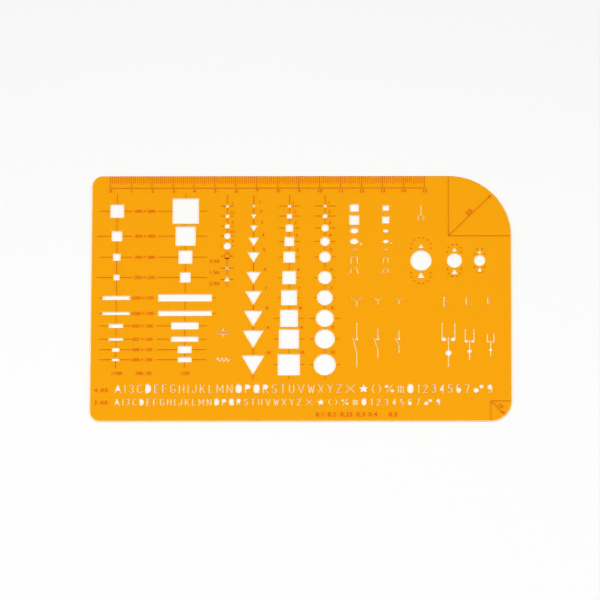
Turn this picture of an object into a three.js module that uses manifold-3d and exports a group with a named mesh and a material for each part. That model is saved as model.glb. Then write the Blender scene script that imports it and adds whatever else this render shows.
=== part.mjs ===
// Lettering and symbol template: a clear orange sheet cut through with two rows of letters, ranges of
// triangles, squares and circles, luminaire outlines at two drawing scales and wiring-plan symbols,
// with ink figures printed on its upper face.
// Sizes are millimetres. +X runs along the ruler, +Y towards the ruler edge and +Z up from the paper.
// The origin is the middle of the underside.

import * as THREE from 'three';
import { mergeVertices } from 'three/addons/utils/BufferGeometryUtils.js';
import Module from 'manifold-3d';

// Sheet
const SHEET_WIDTH = 200;
const SHEET_HEIGHT = 122;
const SHEET_THICKNESS = 1.2;
const PLAIN_CORNER_RADIUS = 5;
const LARGE_CORNER_RADIUS = 30;
const SMALL_CORNER_RADIUS = 10;

// A cut-out is wider than the figure it draws, by the room that the pencil lead takes up
const PENCIL_ALLOWANCE = 0.5;
const SLIT_WIDTH = 0.5;
const FINE_SLIT_WIDTH = 0.45;

// Gaps between the columns of cut-outs, from the left edge of the sheet to its right edge
const COLUMN_GAPS = [5.6, 13.45, 5.4, 5.4, 6.3, 6.5, 6.3, 10.95, 10.1, 7.35, 5.8, 12.45];

// Gaps between the rows of plain shapes and letters, from the ruler edge to the lower edge
const ROW_GAPS = [14.25, 3, 3, 2.75, 2.75, 4.25, 3, 2.25, 1.25, 2.75, 4.3, 2.6, 7.85];

// Depth of the symbol field, from the ruler edge down to the letters, that the drops below are set out in
const FIELD_DEPTH = 103.55;

// Ceiling lights as long and as wide as they are in a building, and the gap above each cut-out at the
// larger scale
const DRAWING_SCALES = [100, 50];
const FIXTURES = [
  { length: 600, width: 600, gap: 11.25 },
  { length: 450, width: 450, gap: 1.5 },
  { length: 300, width: 300, gap: 2.5 },
  { length: 225, width: 225, gap: 4.35 },
  { length: 1250, width: 150, gap: 5.95 },
  { length: 1250, width: 100, gap: 4.7 },
  { length: 625, width: 150, gap: 3.2 },
  { length: 625, width: 100, gap: 3.6 },
  { length: 300, width: 150, gap: 2.2 },
  { length: 300, width: 100, gap: 2 },
];
const FIXTURE_FOOT_GAP = 10.8;

// Small lamp signs in one column: round holes, a printed ring, a cross and a triangle
const LAMP_DIAMETERS = [1, 1.5, 2, 2.5, 3];
const LAMP_STEP = 5;
const RING_DIAMETER = 3;
const RING_FILL_HEIGHT = 0.6;
const CROSS_SIZE = 1.6;
const CROSS_STEP = 6;
const LAMP_TRIANGLE_SIDE = 2.2;
const LAMP_TRIANGLE_STEP = 5.7;

// Plain shapes, numbered by the size that they draw
const SHAPE_SIZES = [1, 2, 3, 4, 5, 6, 7, 8, 9, 10];

// Capacitor and resistor signs, set a little to the left of the lamp signs
const CIRCUIT_SIGN_SHIFT = -1.7;
const CAPACITOR_DROP = 78;
const CAPACITOR_WIDTH = 5.6;
const CAPACITOR_GAP = 1.8;
const CAPACITOR_LEAD = 1.3;
const RESISTOR_DROP = 91.4;
const RESISTOR_PEAKS = 3;
const RESISTOR_PEAK_WIDTH = 2;
const RESISTOR_HEIGHT = 2;
const RESISTOR_LEAD = 0.8;

// Device signs in two columns, the second drawn smaller
const DEVICE_SCALES = [1, 0.72];
const DEVICE_BOX = { width: 4.2, height: 3.6, drop: 16 };
const DEVICE_SQUARE = { width: 4.7, height: 4.7, drop: 22 };
const DEVICE_DOME = { width: 3.9, height: 2.7, drop: 27.4 };
const DEVICE_OVAL = { width: 4, height: 2.8, drop: 32.7 };
const DEVICE_DOTS = [{ diameter: 1.3, right: 3.1, below: 1.3 }, { diameter: 1.1, right: 2.7, below: 0.8 }];
const DEVICE_HAT = { width: 2.6, height: 0.8, drop: 36.8 };
const DEVICE_ARCH = { width: 3, height: 4, drop: 41.8 };
const DEVICE_BELL = { width: 3.2, height: 3, drop: 47.1 };

// Pull-switch sign: a stem that ends in an open ring
const PULL_DROP = 14.6;
const PULL_STEM = 4.8;
const PULL_RING = 3;
const PULL_RING_OPENING = 70;

// Transformer signs: a round hole with a small arrowhead above it and a larger one below
const TRANSFORMER_DIAMETERS = [9.5, 6.6, 4.8];
const TRANSFORMER_DROP = 42.3;
const UPPER_ARROW = { side: 2, gap: 1.15 };
const LOWER_ARROW = { side: 2.8, gap: 0.5 };
const ARROW_SCALES = [1, 0.85, 0.7];

// Signs in three sizes: branch and earth signs in one row, contacts and changeovers below
const SIGN_SHIFT = 1.3;
const SIGN_PITCH = 10;
const SIGN_RIGHT_INSET = 10;
const SIGN_SCALES = [1, 0.72, 0.58];
const BRANCH_SIGN = { width: 5.4, height: 4.6, fork: 0.62 };
const BRANCH_DROPS = [63, 62.4, 62.4];
const EARTH_SIGN = { width: 1.9, height: 4.6, shift: 0.2 };
const EARTH_DROPS = [62.7, 62.4, 62.4];
const CONTACT_GAP_DROP = 81.3;
const CONTACTS = [
  { upper: 8, blade: 7.5, lower: 7 },
  { upper: 5.1, blade: 5.8, lower: 4.2 },
  { upper: 4.4, blade: 3.6, lower: 3.7 },
];
const CONTACT_BLADE_OFFSET = 1.9;
const CONTACT_DOT = 1.4;
const CHANGEOVERS = [
  { spacing: 6, prong: 8, bead: 2.2, stem: 14.6, knob: 3, knobDrop: 7.9 },
  { spacing: 4.1, prong: 6, bead: 1.6, stem: 10, knob: 2.1, knobDrop: 5.7 },
  { spacing: 3.1, prong: 3.9, bead: 1.1, stem: 7.6, knob: 1.5, knobDrop: 4.6 },
];
const CHANGEOVER_DROPS = [80.3, 81.6, 82.1];

// Lettering: the height that a row draws, where it ends, and how much wider than the gaps between its
// letters the gaps between its signs and figures are
const LETTER_LEFT_INSET = 11.6;
const LARGE_LETTERS = { height: 4, rightInset: 9.3, figureSpread: 1.15 };
const SMALL_LETTERS = { height: 3, rightInset: 34, figureSpread: 1.48 };

// Printing
const INK_THICKNESS = 0.04;
const INK_LINE = 0.2;
const RULER_INSET = 8.6;
const RULER_END_GAP = 10;
const RULER_DEPTH = 6;
const ARROW_LENGTH = 2.2;
const ARROW_WIDTH = 1.3;
const LARGE_ARROW_CLEARANCE = 0.8;
const SMALL_ARROW_CLEARANCE = 0.6;
const BORDER_CLEARANCE = 0.4;

// Shaping
const MILLIMETRES_PER_CENTIMETRE = 10;
const CUT_OVERRUN = 1;
const ROUND_TOLERANCE = 0.025;
const LETTER_ARC_STEP = 36;
const SHARPEST_MITRE = 2.05;
const SHARPEST_TURN = 100;

const SHEET_COLOUR = 0xfca614;
const INK_COLOUR = 0x3a1c06;

const RULER_ROOM = SHEET_WIDTH - LARGE_CORNER_RADIUS - RULER_INSET - RULER_END_GAP;
const RULER_CENTIMETRES = Math.floor(RULER_ROOM / MILLIMETRES_PER_CENTIMETRE);

const wasm = await Module();
wasm.setup();

function sum(values) {
  return values.reduce((total, value) => total + value, 0);
}

// The middles of things set out one after another, with the room that they leave shared out by the gaps
function spread(sizes, gaps, room) {
  const share = (room - sum(sizes)) / sum(gaps);
  return sizes.map((size, index) => (
    sum(sizes.slice(0, index)) + size / 2 + share * sum(gaps.slice(0, index + 1))
  ));
}

function holeSizes(drawnSizes) {
  return drawnSizes.map((size) => size + PENCIL_ALLOWANCE);
}

// Places of the columns from the left edge, and of the rows from the ruler edge

const LONGEST_FIXTURE = Math.max(...FIXTURES.map(({ length }) => length));
const LARGEST_SHAPE = Math.max(...SHAPE_SIZES);
const COLUMN_WIDTHS = [
  ...holeSizes(DRAWING_SCALES.map((scale) => LONGEST_FIXTURE / scale)),
  ...holeSizes([Math.max(...LAMP_DIAMETERS)]),
  LARGEST_SHAPE + Math.sqrt(3) * PENCIL_ALLOWANCE,
  ...holeSizes([LARGEST_SHAPE, LARGEST_SHAPE]),
  ...DEVICE_SCALES.map((scale) => DEVICE_SQUARE.width * scale),
  ...holeSizes(TRANSFORMER_DIAMETERS),
];
const COLUMNS = spread(COLUMN_WIDTHS, COLUMN_GAPS, SHEET_WIDTH);
const FIXTURE_COLUMNS = COLUMNS.slice(0, 2);
const [LAMP_COLUMN, TRIANGLE_COLUMN, SQUARE_COLUMN, CIRCLE_COLUMN] = COLUMNS.slice(2, 6);
const DEVICE_COLUMNS = COLUMNS.slice(6, 8);
const TRANSFORMER_COLUMNS = COLUMNS.slice(8);

const LETTER_HEIGHTS = [LARGE_LETTERS.height, SMALL_LETTERS.height];
const ROWS = spread(holeSizes([...SHAPE_SIZES, ...LETTER_HEIGHTS]), ROW_GAPS, SHEET_HEIGHT);
const SHAPE_DROPS = ROWS.slice(0, SHAPE_SIZES.length);
const [LARGE_LETTER_DROP, SMALL_LETTER_DROP] = ROWS.slice(SHAPE_SIZES.length);
const LETTER_TOP = LARGE_LETTER_DROP - (LARGE_LETTERS.height + PENCIL_ALLOWANCE) / 2;

const FIXTURE_DROPS = spread(
  holeSizes(FIXTURES.map(({ width }) => width / Math.min(...DRAWING_SCALES))),
  [...FIXTURES.map(({ gap }) => gap), FIXTURE_FOOT_GAP],
  LETTER_TOP,
);

// A point on the sheet, by its distance from the left edge and its drop from the ruler edge
function place(inset, drop) {
  return new THREE.Vector2(inset - SHEET_WIDTH / 2, SHEET_HEIGHT / 2 - drop);
}

// The same for a sign, whose drop follows the depth of the symbol field
function fieldPlace(inset, drop) {
  return place(inset, (drop * LETTER_TOP) / FIELD_DEPTH);
}

function point(x, y) {
  return new THREE.Vector2(x, y);
}

// Plain outlines, counter-clockwise

function arc(centre, radiusX, radiusY, startDegrees, endDegrees, stepDegrees) {
  const sweep = endDegrees - startDegrees;
  const steps = Math.max(2, Math.round(Math.abs(sweep) / stepDegrees));
  return Array.from({ length: steps + 1 }, (_, index) => {
    const angle = THREE.MathUtils.degToRad(startDegrees + (sweep * index) / steps);
    return point(centre.x + radiusX * Math.cos(angle), centre.y + radiusY * Math.sin(angle));
  });
}

function roundStep(radius) {
  const halfStep = Math.acos(1 - Math.min(ROUND_TOLERANCE / radius, 1 - Math.SQRT1_2));
  return THREE.MathUtils.radToDeg(2 * halfStep);
}

function oval(centre, width, height) {
  const step = roundStep(Math.max(width, height) / 2);
  return arc(centre, width / 2, height / 2, 0, 360, step).slice(0, -1);
}

function circle(centre, diameter) {
  return oval(centre, diameter, diameter);
}

function rectangle(centre, width, height) {
  const corners = [[-1, -1], [1, -1], [1, 1], [-1, 1]];
  return corners.map(([x, y]) => point(centre.x + (x * width) / 2, centre.y + (y * height) / 2));
}

// An equilateral triangle about its centre, with its tip up (1) or down (-1)
function triangle(centre, side, tip) {
  const radius = side / Math.sqrt(3);
  return [0, 1, 2].map((corner) => {
    const angle = (tip * Math.PI) / 2 + (corner * 2 * Math.PI) / 3;
    return point(centre.x + radius * Math.cos(angle), centre.y + radius * Math.sin(angle));
  });
}

function star(centre, radius, innerRadius, points) {
  return Array.from({ length: 2 * points }, (_, index) => {
    const reach = index % 2 ? innerRadius : radius;
    const angle = Math.PI / 2 + (index * Math.PI) / points;
    return point(centre.x + reach * Math.cos(angle), centre.y + reach * Math.sin(angle));
  });
}

// The right-hand side of a path at a distance from it. A sharp outer corner is cut square across.
function side(path, distance, closed) {
  const count = path.length;
  const normals = path.map((start, index) => {
    const along = path[(index + 1) % count].clone().sub(start).normalize();
    return point(along.y, -along.x);
  });
  return path.flatMap((corner, index) => {
    const first = !closed && index === 0;
    const last = !closed && index === count - 1;
    const before = first ? normals[0] : normals[(index + count - 1) % count];
    const after = last ? before : normals[index];
    const cosine = before.dot(after);
    const mitre = Math.sqrt(2 / (1 + cosine));
    const outer = before.cross(after) > 0;
    const shift = (direction, reach) => corner.clone().addScaledVector(direction, reach);
    if (outer && mitre > SHARPEST_MITRE) {
      return [shift(before, distance), shift(after, distance)];
    }
    const bisector = before.clone().add(after).normalize();
    return [shift(bisector, distance * mitre)];
  });
}

// A closed outline grown outwards on every side
function grow(outline, distance) {
  const turned = THREE.ShapeUtils.isClockWise(outline) ? [...outline].reverse() : outline;
  return side(turned, distance, true);
}

// The parts of a path between the corners where it turns back on itself
function runsOf(path) {
  const limit = Math.cos(THREE.MathUtils.degToRad(SHARPEST_TURN));
  const runs = [[path[0]]];
  path.slice(1).forEach((corner, index) => {
    runs.at(-1).push(corner);
    const arriving = corner.clone().sub(path[index]).normalize();
    const leaving = path[index + 2]?.clone().sub(corner).normalize();
    if (leaving && arriving.dot(leaving) < limit) {
      runs.push([corner]);
    }
  });
  return runs;
}

// The outline of a slit along one run. It ends square, half its width past the ends of the run.
function widen(run, width) {
  const lengthen = (end, next) => end.clone().addScaledVector(end.clone().sub(next).normalize(), width / 2);
  const longer = [...run];
  longer[0] = lengthen(run[0], run[1]);
  longer[run.length - 1] = lengthen(run.at(-1), run.at(-2));
  return [...side(longer, width / 2, false), ...side([...longer].reverse(), width / 2, false)];
}

function slit(path, width) {
  return runsOf(path).map((run) => widen(run, width));
}

// The hole that draws a plain outline: half the pencil allowance larger on every side
function pencilHole(outline) {
  return grow(outline, PENCIL_ALLOWANCE / 2);
}

// Letters in units of their own height. A stroke is a path for the pencil. A fill is a closed outline
// that falls out whole, because a stencil can't hold a loose middle.

const NARROW = 0.44;
const REGULAR = 0.53;
const ROUND = 0.58;
const BROAD = 0.7;
const CROSSBAR = 0.3;
const WAIST = 0.48;

function line(...coordinates) {
  return coordinates.map(([x, y]) => point(x, y));
}

function bend(x, y, radiusX, radiusY, startDegrees, endDegrees) {
  return arc(point(x, y), radiusX, radiusY, startDegrees, endDegrees, LETTER_ARC_STEP);
}

function disc(x, y, radiusX, radiusY) {
  return bend(x, y, radiusX, radiusY, 0, 360).slice(1);
}

function stroked(...strokes) {
  return { strokes, fills: [] };
}

function filled(outline, ...strokes) {
  return { strokes, fills: [outline] };
}

// An upright oval with straight sides
function stadium(width) {
  const radius = width / 2;
  const upper = bend(radius, 1 - radius, radius, radius, 0, 180);
  return [...upper, ...bend(radius, radius, radius, radius, 180, 360)];
}

// A closed bowl on a straight left side, as in D, P and R
function bowl(width, bottom, top) {
  const radius = Math.min((top - bottom) / 2, width * 0.7);
  const lower = bend(width - radius, bottom + radius, radius, radius, -90, 0);
  const upper = bend(width - radius, top - radius, radius, radius, 0, 90);
  const round = top - bottom > 2 * radius ? [...lower, ...upper] : [...lower, ...upper.slice(1)];
  return [point(0, bottom), ...round, point(0, top)];
}

// The open curve of C and G, from its upper tip to its lower end
function openRound(width, endDegrees) {
  const radius = width / 2;
  const upper = bend(radius, 1 - radius, radius, radius, 30, 180);
  return [...upper, ...bend(radius, radius, radius, radius, 180, endDegrees)];
}

// A half round at the foot of a letter, as in J and U
function foot(width, startDegrees, endDegrees) {
  return bend(width / 2, width / 2, width / 2, width / 2, startDegrees, endDegrees);
}

// The two curves of a 3, with its left tips at x
function three(x, width) {
  const upper = bend(x + width / 2, 0.76, width / 2, 0.24, 150, -90);
  const lower = bend(x + width / 2, 0.26, width / 2, 0.26, 90, -150);
  return [...upper, ...lower.slice(1)];
}

function letterA() {
  const half = BROAD / 2;
  const head = line([half * CROSSBAR, CROSSBAR], [BROAD - half * CROSSBAR, CROSSBAR], [half, 1]);
  return filled(head, line([0, 0], [half, 1], [BROAD, 0]));
}

function letterS() {
  const upper = bend(REGULAR / 2, 0.75, REGULAR / 2, 0.25, 30, 270);
  const lower = bend(REGULAR / 2, 0.25, REGULAR / 2, 0.25, 90, -150);
  return stroked([...upper, ...lower.slice(1)]);
}

function percentSign() {
  const width = 1;
  const radius = 0.16;
  const dots = [disc(radius, 0.78, radius, radius), disc(width - radius, 0.22, radius, radius)];
  return { strokes: [line([0.14, 0], [width - 0.14, 1])], fills: dots };
}

function metreSign() {
  const height = 0.8;
  const arms = line([0, 0], [0, height], [ROUND, height], [ROUND, 0]);
  return stroked(arms, line([ROUND / 2, 0], [ROUND / 2, height]));
}

function numeralFour() {
  const stem = NARROW * 0.75;
  const head = line([0, CROSSBAR], [stem, CROSSBAR], [stem, 1]);
  return filled(head, line([stem, 0], [stem, 1]), line([0, CROSSBAR], [NARROW, CROSSBAR]));
}

function numeralFive() {
  const flag = line([NARROW, 1], [0.06, 1], [0.02, 0.56]);
  return stroked([...flag, ...bend(NARROW / 2, 0.3, NARROW / 2, 0.3, 110, -150)]);
}

function numeralSix() {
  const radius = NARROW / 2;
  const hook = [point(0, 0.3), ...bend(radius, 1 - radius, radius, radius, 180, 30)];
  return filled(disc(radius, 0.3, radius, 0.3), hook);
}

function numeralEight() {
  return { strokes: [], fills: [disc(0.28, 0.29, 0.27, 0.27), disc(0.92, 0.76, 0.21, 0.21)] };
}

function numeralNine() {
  const radius = NARROW / 2;
  const tail = [point(NARROW, 0.7), ...foot(NARROW, 0, -150)];
  return filled(disc(radius, 0.7, radius, 0.3), tail);
}

const STEM = line([0, 0], [0, 1]);

const ALPHABET = {
  A: letterA(),
  B: stroked(STEM, three(0.55, NARROW)),
  C: stroked(openRound(REGULAR, 330)),
  D: filled(bowl(REGULAR, 0, 1)),
  E: stroked(line([NARROW, 1], [0, 1], [0, 0], [NARROW, 0]), line([0, 0.5], [NARROW * 0.85, 0.5])),
  F: stroked(line([NARROW, 1], [0, 1], [0, 0]), line([0, 0.5], [NARROW * 0.85, 0.5])),
  G: stroked([...openRound(REGULAR, 360), ...line([REGULAR, 0.45], [REGULAR / 2, 0.45])]),
  H: stroked(STEM, line([REGULAR, 0], [REGULAR, 1]), line([0, 0.5], [REGULAR, 0.5])),
  I: stroked(STEM),
  J: stroked([point(NARROW, 1), ...foot(NARROW, 0, -180)]),
  K: stroked(STEM, line([0, 0.35], [REGULAR, 1]), line([0.2, 0.6], [REGULAR, 0])),
  L: stroked(line([0, 1], [0, 0], [NARROW, 0])),
  M: stroked(line([0, 0], [0, 1], [BROAD / 2, 0.25], [BROAD, 1], [BROAD, 0])),
  N: stroked(line([0, 0], [0, 1], [ROUND, 0], [ROUND, 1])),
  O: filled(stadium(ROUND)),
  P: filled(bowl(REGULAR, WAIST, 1), STEM),
  Q: filled(stadium(ROUND), line([ROUND * 0.55, 0.3], [ROUND, 0])),
  R: filled(bowl(REGULAR, WAIST, 1), STEM, line([REGULAR * 0.4, WAIST], [REGULAR, 0])),
  S: letterS(),
  T: stroked(line([0, 1], [REGULAR, 1]), line([REGULAR / 2, 0], [REGULAR / 2, 1])),
  U: stroked([point(0, 1), ...foot(REGULAR, 180, 360), point(REGULAR, 1)]),
  V: stroked(line([0, 1], [BROAD / 2, 0], [BROAD, 1])),
  W: stroked(line([0, 1], [BROAD / 4, 0], [BROAD / 2, 0.8], [BROAD * 0.75, 0], [BROAD, 1])),
  X: stroked(line([0, 0], [ROUND, 1]), line([0, 1], [ROUND, 0])),
  Y: stroked(line([0, 1], [ROUND / 2, 0.5], [ROUND, 1]), line([ROUND / 2, 0], [ROUND / 2, 0.5])),
  Z: stroked(line([0, 1], [REGULAR, 1], [0, 0], [REGULAR, 0])),
};

const FIGURES = {
  cross: stroked(line([0, 0], [1.06, 1]), line([0, 1], [1.06, 0])),
  star: filled(star(point(0.48, 0.48), 0.5, 0.22, 5)),
  opening: stroked(bend(0.62, 0.5, 0.62, 0.62, 130, 230)),
  closing: stroked(bend(0, 0.5, 0.62, 0.62, 50, -50)),
  percent: percentSign(),
  metre: metreSign(),
  zero: filled(stadium(ROUND)),
  one: stroked(line([0, 0.84], [0.14, 1], [0.14, 0])),
  two: stroked([...bend(NARROW / 2, 0.74, NARROW / 2, 0.26, 165, -30), ...line([0, 0], [NARROW, 0])]),
  three: stroked(three(0, NARROW)),
  four: numeralFour(),
  five: numeralFive(),
  six: numeralSix(),
  seven: stroked(line([0, 1], [NARROW, 1], [0.14, 0])),
  eight: numeralEight(),
  nine: numeralNine(),
};

function glyphSpan(glyph) {
  const box = new THREE.Box2().setFromPoints([...glyph.strokes, ...glyph.fills].flat());
  return { middle: (box.min.x + box.max.x) / 2, width: box.max.x - box.min.x };
}

function glyphOutlines(glyph, corner, height) {
  const toSheet = ({ x, y }) => point(corner.x + x * height, corner.y + y * height);
  const strokes = glyph.strokes.flatMap((path) => slit(path.map(toSheet), PENCIL_ALLOWANCE));
  const fills = glyph.fills.map((outline) => pencilHole(outline.map(toSheet)));
  return [...strokes, ...fills];
}

// A row of letters, signs and figures, spread out between its two ends
function letterRow({ height, rightInset, figureSpread }, drop) {
  const letters = Object.values(ALPHABET);
  const figures = Object.values(FIGURES);
  const glyphs = [...letters, ...figures];
  const widths = holeSizes(glyphs.map((glyph) => glyphSpan(glyph).width * height));
  const gaps = [0, ...letters.slice(1).map(() => 1), ...figures.map(() => figureSpread), 0];
  const middles = spread(widths, gaps, SHEET_WIDTH - LETTER_LEFT_INSET - rightInset);
  return glyphs.flatMap((glyph, index) => {
    const inset = LETTER_LEFT_INSET + middles[index] - glyphSpan(glyph).middle * height;
    return glyphOutlines(glyph, place(inset, drop + height / 2), height);
  });
}

// Cut-outs of the symbol field

function fixtureHoles() {
  return DRAWING_SCALES.flatMap((scale, column) => FIXTURES.map(({ length, width }, row) => {
    const middle = place(FIXTURE_COLUMNS[column], FIXTURE_DROPS[row]);
    return pencilHole(rectangle(middle, length / scale, width / scale));
  }));
}

// The printed ring follows the round holes at their own step
function ringDrop() {
  return SHAPE_DROPS[0] + LAMP_DIAMETERS.length * LAMP_STEP;
}

function lampHoles() {
  const rounds = LAMP_DIAMETERS.map((diameter, row) => (
    pencilHole(circle(place(LAMP_COLUMN, SHAPE_DROPS[0] + row * LAMP_STEP), diameter))
  ));
  const crossDrop = ringDrop() + CROSS_STEP;
  const middle = place(LAMP_COLUMN, crossDrop);
  const reach = CROSS_SIZE / 2;
  const arms = [1, -1].flatMap((slope) => {
    const lower = point(middle.x - reach, middle.y - slope * reach);
    const upper = point(middle.x + reach, middle.y + slope * reach);
    return slit([lower, upper], SLIT_WIDTH);
  });
  const arrowMiddle = place(LAMP_COLUMN, crossDrop + LAMP_TRIANGLE_STEP);
  return [...rounds, ...arms, pencilHole(triangle(arrowMiddle, LAMP_TRIANGLE_SIDE, 1))];
}

function shapeHoles() {
  return SHAPE_SIZES.flatMap((size, row) => {
    const drop = SHAPE_DROPS[row];
    const triangleDrop = drop - size / (4 * Math.sqrt(3));
    return [
      triangle(place(TRIANGLE_COLUMN, triangleDrop), size, -1),
      rectangle(place(SQUARE_COLUMN, drop), size, size),
      circle(place(CIRCLE_COLUMN, drop), size),
    ].map(pencilHole);
  });
}

function capacitorSlits() {
  const middle = fieldPlace(LAMP_COLUMN + CIRCUIT_SIGN_SHIFT, CAPACITOR_DROP);
  return [1, -1].flatMap((direction) => {
    const level = middle.y + (direction * CAPACITOR_GAP) / 2;
    const plate = [-1, 1].map((hand) => point(middle.x + (hand * CAPACITOR_WIDTH) / 2, level));
    const lead = [point(middle.x, level), point(middle.x, level + direction * CAPACITOR_LEAD)];
    return [...slit(plate, FINE_SLIT_WIDTH), ...slit(lead, FINE_SLIT_WIDTH)];
  });
}

function resistorSlits() {
  const middle = fieldPlace(LAMP_COLUMN + CIRCUIT_SIGN_SHIFT, RESISTOR_DROP);
  const start = middle.x - (RESISTOR_PEAKS * RESISTOR_PEAK_WIDTH) / 2;
  const path = [point(start - RESISTOR_LEAD, middle.y), point(start, middle.y)];
  for (let peak = 0; peak < RESISTOR_PEAKS; peak += 1) {
    const left = start + peak * RESISTOR_PEAK_WIDTH;
    path.push(point(left + RESISTOR_PEAK_WIDTH / 4, middle.y + RESISTOR_HEIGHT / 2));
    path.push(point(left + (RESISTOR_PEAK_WIDTH * 3) / 4, middle.y - RESISTOR_HEIGHT / 2));
  }
  const end = middle.x + (RESISTOR_PEAKS * RESISTOR_PEAK_WIDTH) / 2;
  path.push(point(end, middle.y), point(end + RESISTOR_LEAD, middle.y));
  return slit(path, SLIT_WIDTH);
}

// A dome with a flat foot, from its left end over to its right
function domePath(middle, width, height) {
  const radius = width / 2;
  const top = middle.y + height / 2;
  const foot = middle.y - height / 2;
  const crown = arc(point(middle.x, top - radius), radius, radius, 180, 0, LETTER_ARC_STEP);
  return [point(middle.x - radius, foot), ...crown, point(middle.x + radius, foot)];
}

function deviceOutlines(inset, scale, { diameter, right, below }) {
  const sized = ({ width, height, drop }) => ({
    width: width * scale,
    height: height * scale,
    middle: fieldPlace(inset, drop),
  });
  const box = sized(DEVICE_BOX);
  const square = sized(DEVICE_SQUARE);
  const dome = sized(DEVICE_DOME);
  const eye = sized(DEVICE_OVAL);
  const hat = sized(DEVICE_HAT);
  const arch = sized(DEVICE_ARCH);
  const bell = sized(DEVICE_BELL);
  const dot = point(eye.middle.x + right, eye.middle.y - below);
  const brim = [
    point(hat.middle.x - hat.width / 2, hat.middle.y - hat.height / 2),
    point(hat.middle.x, hat.middle.y + hat.height / 2),
    point(hat.middle.x + hat.width / 2, hat.middle.y - hat.height / 2),
  ];
  const foot = bell.middle.y - bell.height / 2;
  const rim = (direction) => [
    point(bell.middle.x + (direction * bell.width) / 2, foot),
    point(bell.middle.x + direction * (bell.width / 2 + FINE_SLIT_WIDTH), foot),
  ];
  return [
    rectangle(box.middle, box.width, box.height),
    rectangle(square.middle, square.width, square.height),
    oval(dome.middle, dome.width, dome.height),
    oval(eye.middle, eye.width, eye.height),
    circle(dot, diameter),
    ...slit(brim, FINE_SLIT_WIDTH),
    ...slit(domePath(arch.middle, arch.width, arch.height), FINE_SLIT_WIDTH),
    ...slit(domePath(bell.middle, bell.width, bell.height), FINE_SLIT_WIDTH),
    ...slit(rim(-1), FINE_SLIT_WIDTH),
    ...slit(rim(1), FINE_SLIT_WIDTH),
  ];
}

function pullSwitchSlits() {
  const top = fieldPlace(TRANSFORMER_COLUMNS[0], PULL_DROP);
  const foot = point(top.x, top.y - PULL_STEM);
  const centre = point(top.x, foot.y - PULL_RING / 2);
  const half = PULL_RING_OPENING / 2;
  const ring = arc(centre, PULL_RING / 2, PULL_RING / 2, -90 + half, 270 - half, LETTER_ARC_STEP);
  return [...slit([top, foot], FINE_SLIT_WIDTH), ...slit(ring, FINE_SLIT_WIDTH)];
}

function transformerHoles() {
  return TRANSFORMER_COLUMNS.flatMap((inset, index) => {
    const middle = fieldPlace(inset, TRANSFORMER_DROP);
    const radius = (TRANSFORMER_DIAMETERS[index] + PENCIL_ALLOWANCE) / 2;
    const headSide = UPPER_ARROW.side * ARROW_SCALES[index];
    const tailSide = LOWER_ARROW.side * ARROW_SCALES[index];
    const headRise = radius + UPPER_ARROW.gap * ARROW_SCALES[index] + PENCIL_ALLOWANCE / 2;
    const tailFall = radius + LOWER_ARROW.gap + PENCIL_ALLOWANCE;
    const head = point(middle.x, middle.y + headRise + headSide / Math.sqrt(12));
    const tail = point(middle.x, middle.y - tailFall - tailSide / Math.sqrt(3));
    return [
      circle(middle, TRANSFORMER_DIAMETERS[index]),
      triangle(head, headSide, 1),
      triangle(tail, tailSide, 1),
    ].map(pencilHole);
  });
}

function signColumns() {
  const left = [0, 1, 2].map((index) => DEVICE_COLUMNS[0] + SIGN_SHIFT + index * SIGN_PITCH);
  const right = [2, 1, 0].map((index) => SHEET_WIDTH - SIGN_RIGHT_INSET - index * SIGN_PITCH);
  return { left, right };
}

function branchSlits(inset, drop, scale) {
  const middle = fieldPlace(inset, drop);
  const halfWidth = (BRANCH_SIGN.width * scale) / 2;
  const halfHeight = (BRANCH_SIGN.height * scale) / 2;
  const fork = point(middle.x, middle.y - halfHeight + BRANCH_SIGN.height * scale * BRANCH_SIGN.fork);
  const arms = [
    point(middle.x - halfWidth, middle.y + halfHeight),
    fork,
    point(middle.x + halfWidth, middle.y + halfHeight),
  ];
  const stem = [point(middle.x, middle.y - halfHeight), fork];
  return [...slit(arms, FINE_SLIT_WIDTH), ...slit(stem, FINE_SLIT_WIDTH)];
}

function earthSlits(inset, drop, scale) {
  const middle = fieldPlace(inset, drop);
  const right = middle.x - EARTH_SIGN.shift;
  const left = right - EARTH_SIGN.width * scale;
  const top = middle.y + (EARTH_SIGN.height * scale) / 2;
  const foot = middle.y - (EARTH_SIGN.height * scale) / 2;
  const frame = [point(right, top), point(left, top), point(left, foot), point(right, foot)];
  const tongue = [point(left, middle.y), point(right, middle.y)];
  return [...slit(frame, FINE_SLIT_WIDTH), ...slit(tongue, FINE_SLIT_WIDTH)];
}

// A make contact: an upper wire that ends in a dot, and a blade that leans beside it
function contactSlits(inset, { upper, blade, lower }) {
  const dot = fieldPlace(inset, CONTACT_GAP_DROP);
  const wire = [point(dot.x, dot.y + upper), dot];
  const tip = point(dot.x - CONTACT_BLADE_OFFSET, dot.y + CONTACT_DOT / 2);
  const knee = point(dot.x, tip.y - blade);
  const arm = [tip, knee, point(knee.x, knee.y - lower)];
  return [...slit(wire, FINE_SLIT_WIDTH), circle(dot, CONTACT_DOT), ...slit(arm, FINE_SLIT_WIDTH)];
}

// A changeover: two prongs with beads at their feet and a stem that carries a knob
function changeoverSlits(inset, drop, { spacing, prong, bead, stem, knob, knobDrop }) {
  const top = fieldPlace(inset, drop);
  const prongs = [-1, 1].flatMap((hand) => {
    const x = top.x + (hand * spacing) / 2;
    const foot = point(x, top.y - bead / 2);
    const middle = point(x - hand * (bead / 2 - SLIT_WIDTH / 2), foot.y);
    return [...slit([point(x, foot.y + prong), foot], SLIT_WIDTH), circle(middle, bead)];
  });
  const shaft = slit([top, point(top.x, top.y - stem)], SLIT_WIDTH);
  return [...prongs, ...shaft, circle(point(top.x, top.y - knobDrop), knob)];
}

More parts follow.
